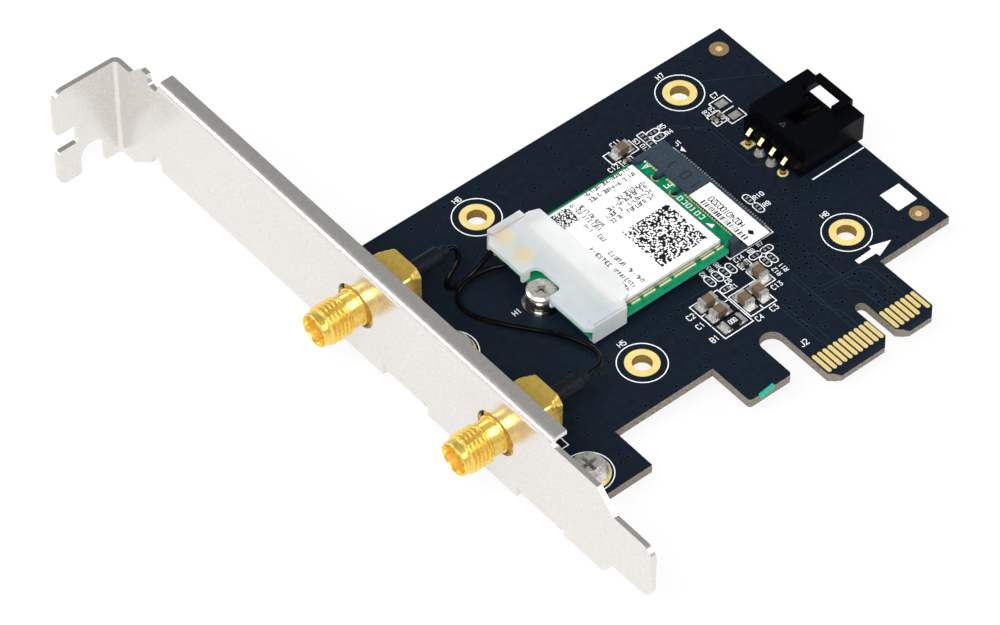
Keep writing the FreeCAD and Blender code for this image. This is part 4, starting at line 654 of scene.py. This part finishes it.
def make_silk():
    """Rings, outlines, the arrow and plain designators."""
    silk = Marks(BOARD_TOP)
    for x, y in HOLES + EAR_SCREWS:
        silk.ring(x, y, HOLE_RING, PEN)
    for kind, x, y in PAIRS:
        silk.stadium(x, y, PAIR_LONG, PAIR_WIDE, THIN_PEN, kind)
    boxes = [(-18.86, 14.72, -13.57, 17.65), (-18.86, 17.65, -13.57, 22.48),
             (-13.25, 15.55, -8.37, 20.4)]
    for x0, y0, x1, y1 in boxes:
        silk.band([(x0, y0), (x1, y0), (x1, y1), (x0, y1)], PEN, True)
    silk.band([(-18.86, 20.07), (-17.9, 20.07)], PEN)
    silk.band([(-15.0, 20.07), (-13.57, 20.07)], PEN)
    silk.band([(-10.81, 15.55), (-10.81, 16.4)], PEN)
    silk.band([(-10.81, 19.9), (-10.81, 20.4)], PEN)
    silk.band([(-7.6, 22.4), (-8.1, 22.4), (-8.1, 18.6), (-5.8, 18.6), (-5.8, 22.4), (-6.3, 22.4)], PEN)
    silk.band([(-7.62, 52.95), (-8.95, 52.95), (-8.95, 50.68), (-7.9, 50.68)], PEN)
    silk.band([(-4.95, 52.95), (-3.95, 52.95), (-3.95, 50.62), (-5.6, 50.62)], PEN)
    silk.band([(-7.45, 50.55), (-7.95, 50.55), (-7.95, 49.3), (-7.4, 49.3)], THIN_PEN)
    silk.band([(-6.4, 50.5), (-5.8, 50.5), (-5.8, 49.3), (-6.3, 49.3)], THIN_PEN)
    silk.band([(-7.75, 24.25), (-8.2, 24.25), (-8.2, 23.05), (-7.75, 23.05)], THIN_PEN)
    silk.band([(-6.9, 24.25), (-6.35, 24.25), (-6.35, 23.05), (-6.9, 23.05)], THIN_PEN)
    for y in (52.0, 50.0):
        silk.band([(-2.38, y - 0.98), (-1.22, y - 0.98), (-1.22, y + 0.98), (-2.38, y + 0.98)],
                  THIN_PEN, True)
    silk.band([(10.0, 49.1), (10.0, 50.95), (12.9, 50.95), (12.9, 49.1)], PEN)
    silk.band([(10.0, 47.6), (10.0, 45.75), (12.9, 45.75), (12.9, 47.6)], PEN)
    silk.band([(10.4, 48.35), (12.6, 48.35)], PEN)
    silk.band([(7.95, 48.0), (7.95, 46.75), (10.25, 46.75), (10.25, 49.1), (7.95, 49.1), (7.95, 48.6)],
              THIN_PEN)
    silk.band([(9.1, 46.75), (9.1, 47.2)], THIN_PEN)
    silk.band([(-8.22, 27.2), (-8.22, 25.72), (0.12, 25.72), (0.12, 27.5)], PEN)
    silk.band([(-8.22, 46.2), (-8.22, 47.68), (0.12, 47.68), (0.12, 46.9)], PEN)
    for y in sorted(JACK_MIDDLES):
        silk.band([(-57.3, y - 4.0), (-48.85, y - 4.0), (-48.85, y + 4.0), (-57.3, y + 4.0)], PEN)
    silk.band([(11.5, 29.78), (21.7, 29.78)], BOLD_PEN)
    silk.band([(12.9, 45.1), (21.7, 45.1)], BOLD_PEN)
    silk.slab([(5.46, 13.19), (8.75, 13.1), (8.85, 12.42), (12.2, 13.64), (8.87, 14.77), (8.79, 14.15),
               (5.46, 14.03)])
    silk.box(16.92, 17.2, 20.65, 21.15)
    silk.slab([(0.55, 46.5), (1.05, 45.8), (1.25, 47.15)])
    words = [("H1", -39.0, 37.6, 1.15), ("H5", -31.45, 23.45, 1.1), ("H6", -31.65, 59.9, 1.1),
             ("H7", 7.6, 59.9, 1.1), ("H8", 7.55, 23.5, 1.1), ("C1", -20.6, 18.85, 1.1),
             ("C2", -20.55, 20.95, 1.1), ("B1", -20.7, 15.67, 1.15), ("C4", -13.05, 14.6, 1.1),
             ("C3", -10.2, 14.7, 1.1), ("C13", -7.3, 17.65, 1.0), ("C14", -7.95, 25.0, 0.9),
             ("R7", -3.4, 25.25, 0.85), ("R8", -5.3, 25.0, 0.85), ("R9", 2.6, 30.5, 0.95),
             ("R10", 2.5, 32.5, 0.95), ("R4", 1.2, 50.45, 1.0), ("R5", 1.05, 51.95, 1.0),
             ("C11", -6.7, 53.75, 1.0), ("C12", -10.2, 50.1, 1.0), ("J1", 0.7, 47.95, 1.0),
             ("C6", -11.7, 22.75, 0.85), ("R1", -11.8, 21.4, 0.95), ("C7", 11.3, 51.8, 1.0),
             ("J2", -11.5, 7.0, 1.2)]
    for text, x, y, tall in words:
        silk.write(text, x, y, tall * WORD_SHARE, WORD_PEN)
    turned = [("C8", 8.45, 49.35, 0.9), ("C9", 9.65, 49.35, 0.9), ("R2", -13.2, 25.55, 0.85),
              ("R3", -11.7, 25.7, 0.85), ("R6", -10.4, 25.7, 0.85), ("R11", -3.3, 18.9, 0.9),
              ("R12", -4.6, 18.9, 0.9), ("C10", -3.1, 49.5, 0.9), ("C5", -3.2, 51.6, 0.9)]
    for text, x, y, tall in turned:
        silk.write(text, x, y, tall * WORD_SHARE, TURNED_PEN, UPWARD)
    silk.piece("board_print", silk_white)


VIA_APART, VIA_RADIUS, VIA_SIDES = 0.95, 0.27, 10
LIP_RADIUS, LIP_WIDE, LIP_THICK = 0.31, 0.09, 0.02


def make_vias():
    """Small plated holes, each a dark disc of painted shade in a copper lip: some at measured places,
    and random ones in the fields between the parts.
    """
    spots = [(2.24, 28.53), (1.41, 25.53), (1.53, 22.98), (-0.82, 22.02), (0.95, 21.51), (-0.25, 18.14),
             (-2.15, 19.73), (-1.17, 23.29), (2.52, 13.41), (-1.25, 11.73), (-4.65, 10.02),
             (-8.42, 9.12), (4.78, 6.94), (4.93, 9.94), (-7.41, 14.71), (-23.18, 23.09), (-20.4, 23.16),
             (-26.69, 23.08), (-23.08, 18.04), (-22.97, 14.26), (-21.08, 10.47), (-18.49, 10.52),
             (-16.38, 11.26), (-27.35, 12.57), (-24.57, 12.45), (-30.09, 12.53), (-32.92, 12.57),
             (-35.81, 12.53), (-23.04, 6.97), (-20.62, 4.49), (-18.45, 4.4), (-22.72, 4.38),
             (-16.61, 8.96), (13.79, 61.0), (10.41, 60.44), (12.32, 59.37), (20.46, 49.47),
             (16.58, 54.52), (5.67, 49.25), (6.52, 47.02), (7.69, 45.79), (3.69, 47.85), (4.28, 42.57),
             (7.57, 43.1), (3.14, 41.5), (3.69, 39.8), (6.66, 35.56), (6.92, 34.6), (7.75, 29.67),
             (5.44, 29.61), (5.2, 26.85)]
    fields = [((-2.5, 15.0), (4.0, 29.0), 80), ((-9.0, 5.5), (-1.0, 14.0), 44),
              ((3.0, 23.5), (11.0, 45.0), 70), ((-10.0, 49.0), (21.0, 60.5), 60),
              ((-56.5, 4.8), (-43.2, 22.0), 22), ((-42.0, 20.0), (-22.0, 25.0), 20),
              ((-47.0, 50.0), (-12.0, 60.8), 40), ((2.0, 5.5), (7.6, 12.5), 22),
              ((12.0, 12.6), (21.0, 29.0), 26)]
    for (x0, y0), (x1, y1), count in fields:
        for _ in range(count):
            spots.append((random.uniform(x0, x1), random.uniform(y0, y1)))
    closed = [(x, y, 4.1) for x, y in HOLES + EAR_SCREWS]
    closed += [(-16.2, 18.6, 4.6), (-10.8, 18.0, 3.4), (-7.0, 20.6, 2.6), (-12.0, 24.4, 2.4),
               (-6.3, 51.6, 3.0), (11.4, 48.4, 3.0), (18.8, 14.9, 1.9), (18.8, 58.6, 1.9),
               (9.0, 13.5, 3.9), (18.8, 19.2, 3.2), (9.1, 37.4, 5.0), (-0.5, 51.3, 2.4),
               (-9.8, 7.0, 2.4), (9.0, 48.0, 2.0), (-3.9, 22.6, 1.8), (-56.0, 17.8, 6.5),
               (2.6, 31.8, 2.0), (-8.4, 50.2, 1.8), (0.0, 2.5, 4.0), (-6.0, 2.5, 4.0)]
    holes, lips = Marks(BOARD_TOP, FILM), Marks(BOARD_TOP, LIP_THICK)
    kept = []
    for x, y in spots:
        if any(math.hypot(x - a, y - b) < reach for a, b, reach in closed):
            continue
        if any(math.hypot(x - a, y - b) < VIA_APART for a, b in kept):
            continue
        kept.append((x, y))
        holes.disc(x, y, VIA_RADIUS, VIA_SIDES)
        lips.ring(x, y, LIP_RADIUS, LIP_WIDE)
    holes.piece("via_holes", via_hole_shade)
    lips.piece("via_lips", copper_trace)


TRACE_WIDE = 0.14


def make_traces():
    """Fine copper runs under the solder mask."""
    traces = Marks(BOARD_TOP, FILM)
    runs = [[(-3.2, 18.2), (-3.3, 11.1), (-3.3, 9.1), (-2.5, 7.6), (-2.5, 4.8)],
            [(-3.9, 17.6), (-3.95, 10.9), (-3.5, 9.9), (-3.5, 4.8)],
            [(-9.0, 15.4), (-8.8, 9.3), (-8.9, 5.8), (-8.5, 4.8)],
            [(-8.3, 14.6), (-8.1, 9.4), (-7.5, 8.2), (-7.5, 4.8)],
            [(-1.8, 12.7), (3.0, 12.2), (4.7, 12.1), (5.7, 11.2), (5.7, 9.0), (5.5, 4.8)],
            [(-1.4, 13.4), (3.2, 12.9), (5.2, 12.8), (6.5, 11.4), (6.5, 4.8)],
            [(2.4, 4.8), (2.4, 9.2), (1.2, 10.6), (1.2, 20.0)],
            [(3.5, 4.8), (3.5, 9.6), (2.0, 11.2), (2.0, 19.0)],
            [(3.4, 49.9), (7.3, 47.2), (7.3, 40.2), (9.1, 38.9)],
            [(-0.5, 53.2), (3.6, 50.6), (6.6, 46.6), (6.6, 37.5), (8.4, 36.4)],
            [(12.0, 55.4), (20.6, 50.2), (20.6, 45.8)], [(-11.9, 20.9), (-14.0, 23.6), (-20.0, 23.8)]]
    for path in runs:
        traces.band(path, TRACE_WIDE)
    traces.piece("board_traces", copper_trace)


def make_link_print():
    """The link resistor's noughts."""
    lower, upper = low("link_resistor"), high("link_resistor")
    x, y = (lower[0] + upper[0]) / 2, (lower[1] + upper[1]) / 2
    marks = Marks(upper[2], FILM)
    marks.write("000", x - 0.62, y, 0.75, 0.1, wide=0.42, pitch=0.62)
    marks.piece("link_print", silk_white)


FIDUCIALS = [(18.8, 58.6), (18.9, 14.9)]
WINDOW_RADIUS, WINDOW_SIDES, WINDOW_THICK = 1.5, 32, 0.014


def make_fiducials():
    """Round windows in the solder mask around the two assembly marks."""
    circles = Marks(BOARD_TOP, WINDOW_THICK)
    for x, y in FIDUCIALS:
        circles.disc(x, y, WINDOW_RADIUS, WINDOW_SIDES)
    circles.piece("fiducial_windows", bare_fibre)


def make_cross_shades():
    """Painted shade: dark plates on the floors of the screws' cross recesses."""
    crosses = [("bracket_screws", 1.1, 0.29, 1.42, EAR_SCREWS),
               ("module_screw", 0.45, 0.23, 1.06, None)]
    for node, deep, half_wide, half_long, places in crosses:
        lower, upper = low(node), high(node)
        marks = Marks(upper[2] - deep)
        for x, y in places or [((lower[0] + upper[0]) / 2, (lower[1] + upper[1]) / 2)]:
            marks.box(x - half_long, y - half_wide, x + half_long, y + half_wide)
            marks.box(x - half_wide, y - half_long, x + half_wide, y + half_long)
        marks.piece(node + "_cross", cross_shade)


def make_edge_mark():
    """The small teal ink stroke on the hook's lower edge."""
    data = bpy.data.meshes.new("edge_ink")
    side = 3.72
    spots = [(-22.3, side, 0.03), (-22.0, side, -1.05), (-19.5, side, -0.72), (-19.3, side, 0.03),
             (-19.35, side + 0.5, 0.03), (-22.2, side + 0.25, 0.03)]
    data.from_pydata([Vector(spot) * MM for spot in spots], [], [(0, 1, 2, 3), (0, 3, 4, 5)])
    data.materials.append(teal_ink)
    add("edge_ink", data)


make_silk()
make_vias()
make_traces()
make_link_print()
make_fiducials()
make_cross_shades()
make_edge_mark()


# Print on the module, its label, the socket and its sticker

def make_module_print():
    """Marks on the module's green edge: two letters, a dot, an arrow and blocks that spell nothing."""
    marks = Marks(MODULE_TOP)
    marks.write("A", -6.95, 45.35, 1.35, PEN, UPWARD)
    marks.write("E", -6.9, 40.5, 1.25, PEN, UPWARD)
    marks.disc(-6.42, 46.56, 0.2)
    marks.slab([(-7.75, 31.7), (-7.7, 30.35), (-6.9, 30.65)])
    for number, width in enumerate((0.8, 0.8, 0.8, 0.35, 0.8, 0.8)):
        y = 38.0 - number * 0.95
        marks.band([(-7.75, y), (-7.75, y - width * 0.7), (-6.95, y - width * 0.7), (-6.95, y)], 0.13,
                   number % 2 == 0)
    marks.piece("module_print", silk_white)


def code_square(marks, x0, y0, x1, y1, cells, share):
    """A random field of small squares, like a data code but with nothing to read in it."""
    step_x, step_y = (x1 - x0) / cells, (y1 - y0) / cells
    for row in range(cells):
        start = None
        for column in range(cells + 1):
            filled = column < cells and random.random() < share
            if filled and start is None:
                start = column
            if not filled and start is not None:
                marks.box(x0 + start * step_x, y0 + row * step_y,
                          x0 + column * step_x, y0 + (row + 1) * step_y)
                start = None


STROKES = [[(0, 0), (0, 1)], [(0, 1), (0, 0), (1, 0)], [(0, 0), (0, 1), (1, 1)], [(0, 0.5), (1, 0.5)],
           [(0, 0), (1, 0), (1, 1), (0, 1)]]
TEXT_TALL, TEXT_PEN = 0.66, 0.14
SPACE_CHANCE, SPACE_SHARE = 0.12, 0.55
STROKE_CHANCE, GAP_SHARE = 0.6, 0.28


def greeked(marks, x, y, length, along):
    """A row of letter-like strokes that spell nothing, along +Y or +X from its start."""
    spot = 0.0
    while spot < length:
        if random.random() < SPACE_CHANCE:
            spot += TEXT_TALL * SPACE_SHARE
            continue
        wide = TEXT_TALL * random.uniform(0.38, 0.55)
        paths = [STROKES[random.randrange(len(STROKES))]]
        if random.random() < STROKE_CHANCE:
            paths.append([(1, 0), (1, random.choice((0.5, 1.0)))])
        for path in paths:
            spots = [(spot + a * wide, (b - 0.5) * TEXT_TALL) for a, b in path]
            spots = [(x - b, y + a) if along == "y" else (x + a, y + b) for a, b in spots]
            marks.band(spots, TEXT_PEN)
        spot += wide + TEXT_TALL * GAP_SHARE


def make_label_print():
    """Two code fields and rows of greeked text on the module's label."""
    marks = Marks(LABEL_TOP, FILM)
    code_square(marks, -19.0, 28.4, -10.3, 37.2, 36, 0.52)
    code_square(marks, -25.0, 42.9, -21.9, 46.0, 18, 0.55)
    rows = [(-18.5, 46.1, 8.4), (-18.6, 44.8, 8.4), (-15.4, 42.6, 5.1), (-17.8, 41.75, 7.6),
            (-18.7, 40.75, 2.6), (-14.6, 40.75, 4.2), (-18.9, 39.7, 2.0), (-15.6, 39.7, 5.2)]
    for x, y, length in rows:
        greeked(marks, x, y, length, "x")
    columns = [(-21.1, 39.7, 6.2), (-20.3, 39.9, 5.3), (-22.9, 28.1, 3.0), (-22.9, 32.2, 3.0),
               (-24.5, 28.2, 9.4), (-25.6, 28.0, 5.6), (-26.7, 28.1, 6.6), (-21.9, 37.6, 1.2),
               (-22.2, 39.9, 1.6)]
    for x, y, length in columns:
        greeked(marks, x, y, length, "y")
    marks.piece("label_print", print_black)


def make_sticker_print():
    """Random bars, a made-up number and a diamond on the socket's sticker."""
    marks = Marks(STICKER_TOP, FILM)
    y = 25.1
    while y < 34.5:
        wide = random.choice((0.09, 0.09, 0.16, 0.26))
        marks.box(-6.25, y, -5.35, y + wide)
        y += wide + random.choice((0.10, 0.14, 0.22, 0.3))
    marks.write("H0240100320", -4.5, 27.3, 1.0, THIN_PEN, UPWARD, 0.52, 0.66)
    marks.slab([(-5.0, 25.6), (-4.45, 24.95), (-4.0, 25.6), (-4.5, 26.25)])
    marks.piece("sticker_print", print_black)


def make_socket_marks():
    """Moulded figures on the socket and a triangle on the header."""
    marks = Marks(SOCKET_TOP, FILM)
    for text, y in (("1", 42.65), ("0", 39.7), ("1", 37.35)):
        marks.write(text, -4.2, y, 1.8, 0.26, UPWARD)
    marks.piece("socket_marks", dark_mark)
    marks = Marks(HEADER_TOP - 1.2, FILM)
    marks.band([(12.0, 37.0), (12.7, 37.45), (12.0, 37.9)], 0.12, True)
    marks.piece("header_mark", grey_mark)


def make_socket_comb_and_shade():
    """The socket's toothed lower lip over the module's contacts, under the sticker, dark with painted
    shade along it.
    """
    marks = Marks(MODULE_TOP + 0.04, 0.62)
    marks.box(-6.05, 24.3, -5.75, 36.7)
    for number in range(24):
        marks.box(-6.35, 24.5 + number * 0.5, -6.05, 24.68 + number * 0.5)
    # Painted shade: the lip is darker than the socket's plastic, for the shade along it
    marks.piece("socket_comb_and_shade", dark_mark)


def make_module_gold():
    """Solder tabs along the shield's near side and the plated rims of the module's half holes."""
    marks = Marks(MODULE_TOP, 0.22)
    tabs = [(-26.3, -24.7), (-24.0, -21.8), (-21.0, -18.85), (-18.2, -14.1), (-13.0, -10.6),
            (-10.1, -8.85)]
    for x0, x1 in tabs:
        marks.box(x0, 26.48, x1, 26.74)
    marks.piece("shield_tabs", pale_gold)
    marks = Marks(MODULE_TOP, LIP_THICK)
    for y in (43.1, 39.1):
        marks.ring(-7.25, y, 0.72, 0.16, 100.0, 260.0)
    marks.piece("notch_rims", pale_gold)


make_module_print()
make_label_print()
make_sticker_print()
make_socket_marks()
make_module_gold()
make_socket_comb_and_shade()


# Stage and light

DARK_SIDE = (0.43, 0.51, 0.746)
SKY_STOPS = [(0.35, 1.0), (0.85, 0.40)]
WORLD_STRENGTH = 0.5
FLOOR_REACH, FLOOR_GAP, FLOOR_GLOW = 3000.0, 0.05, 0.9
FLOOR_GREY, FLOOR_ROUGH = 0.9, 0.9

# Each lamp's name, place, aim, width, height and power

LIGHTS = [("key", (-350, -150, 520), (-20, 40, 0), 380, 260, 4.2),
          ("fill", (350, -380, 420), (-20, 40, 0), 400, 300, 1.7),
          ("rim", (-420, 420, 260), (-30, 40, 0), 400, 160, 1.1)]


def emission_for_camera(tree, shader, share):
    """Show as white to the camera and in mirrors, with the shaded floor mixed in for a soft shadow."""
    path = tree.nodes.new("ShaderNodeLightPath").outputs
    seen = maths(tree, "MAXIMUM", path["Is Camera Ray"], path["Is Glossy Ray"])
    clear = maths(tree, "MAXIMUM", seen, path["Is Transmission Ray"])
    glow = tree.nodes.new("ShaderNodeEmission")
    mix = tree.nodes.new("ShaderNodeMixShader")
    tree.links.new(maths(tree, "MULTIPLY", clear, share), mix.inputs["Fac"])
    tree.links.new(shader.outputs["BSDF"], mix.inputs[1])
    tree.links.new(glow.outputs["Emission"], mix.inputs[2])
    tree.links.new(mix.outputs["Shader"], tree.nodes["Material Output"].inputs["Surface"])


def make_floor():
    """A plain pale floor just under the card."""
    material, tree, shader = new_material("floor")
    shader.inputs["Base Color"].default_value = (FLOOR_GREY, FLOOR_GREY, FLOOR_GREY, 1)
    shader.inputs["Roughness"].default_value = FLOOR_ROUGH
    emission_for_camera(tree, shader, FLOOR_GLOW)
    data = bpy.data.meshes.new("floor")
    reach, level = FLOOR_REACH, cad_box[0][2] / MM - FLOOR_GAP
    corners = [(-reach, -reach), (reach, -reach), (reach, reach), (-reach, reach)]
    data.from_pydata([Vector((x, y, level)) * MM for x, y in corners], [], [(0, 1, 2, 3)])
    data.materials.append(material)
    floor = bpy.data.objects.new("floor", data)
    bpy.context.scene.collection.objects.link(floor)


def make_light(name, place, aim, wide, tall, power):
    """A rectangular lamp at a place, turned towards its aim."""
    data = bpy.data.lights.new(name, "AREA")
    data.shape = "RECTANGLE"
    data.size, data.size_y = wide * MM, tall * MM
    data.energy = power
    lamp = bpy.data.objects.new(name, data)
    lamp.location = Vector(place) * MM
    lamp.rotation_euler = (Vector(aim) - Vector(place)).to_track_quat("-Z", "Y").to_euler()
    bpy.context.scene.collection.objects.link(lamp)


def make_world():
    """A pale room, darker on the side that level faces mirror towards the photograph's camera."""
    world = bpy.data.worlds.new("world")
    world.use_nodes = True
    tree = world.node_tree
    place = tree.nodes.new("ShaderNodeTexCoord")
    side = tree.nodes.new("ShaderNodeVectorMath")
    side.operation = "DOT_PRODUCT"
    side.inputs[1].default_value = DARK_SIDE
    tree.links.new(place.outputs["Generated"], side.inputs[0])
    sky = ramp(tree, side.outputs["Value"], SKY_STOPS)
    back = tree.nodes["Background"]
    tree.links.new(sky, back.inputs["Color"])
    back.inputs["Strength"].default_value = WORLD_STRENGTH
    bpy.context.scene.world = world


make_floor()
make_world()
for light in LIGHTS:
    make_light(*light)
bpy.context.scene.view_settings.view_transform = "Standard"
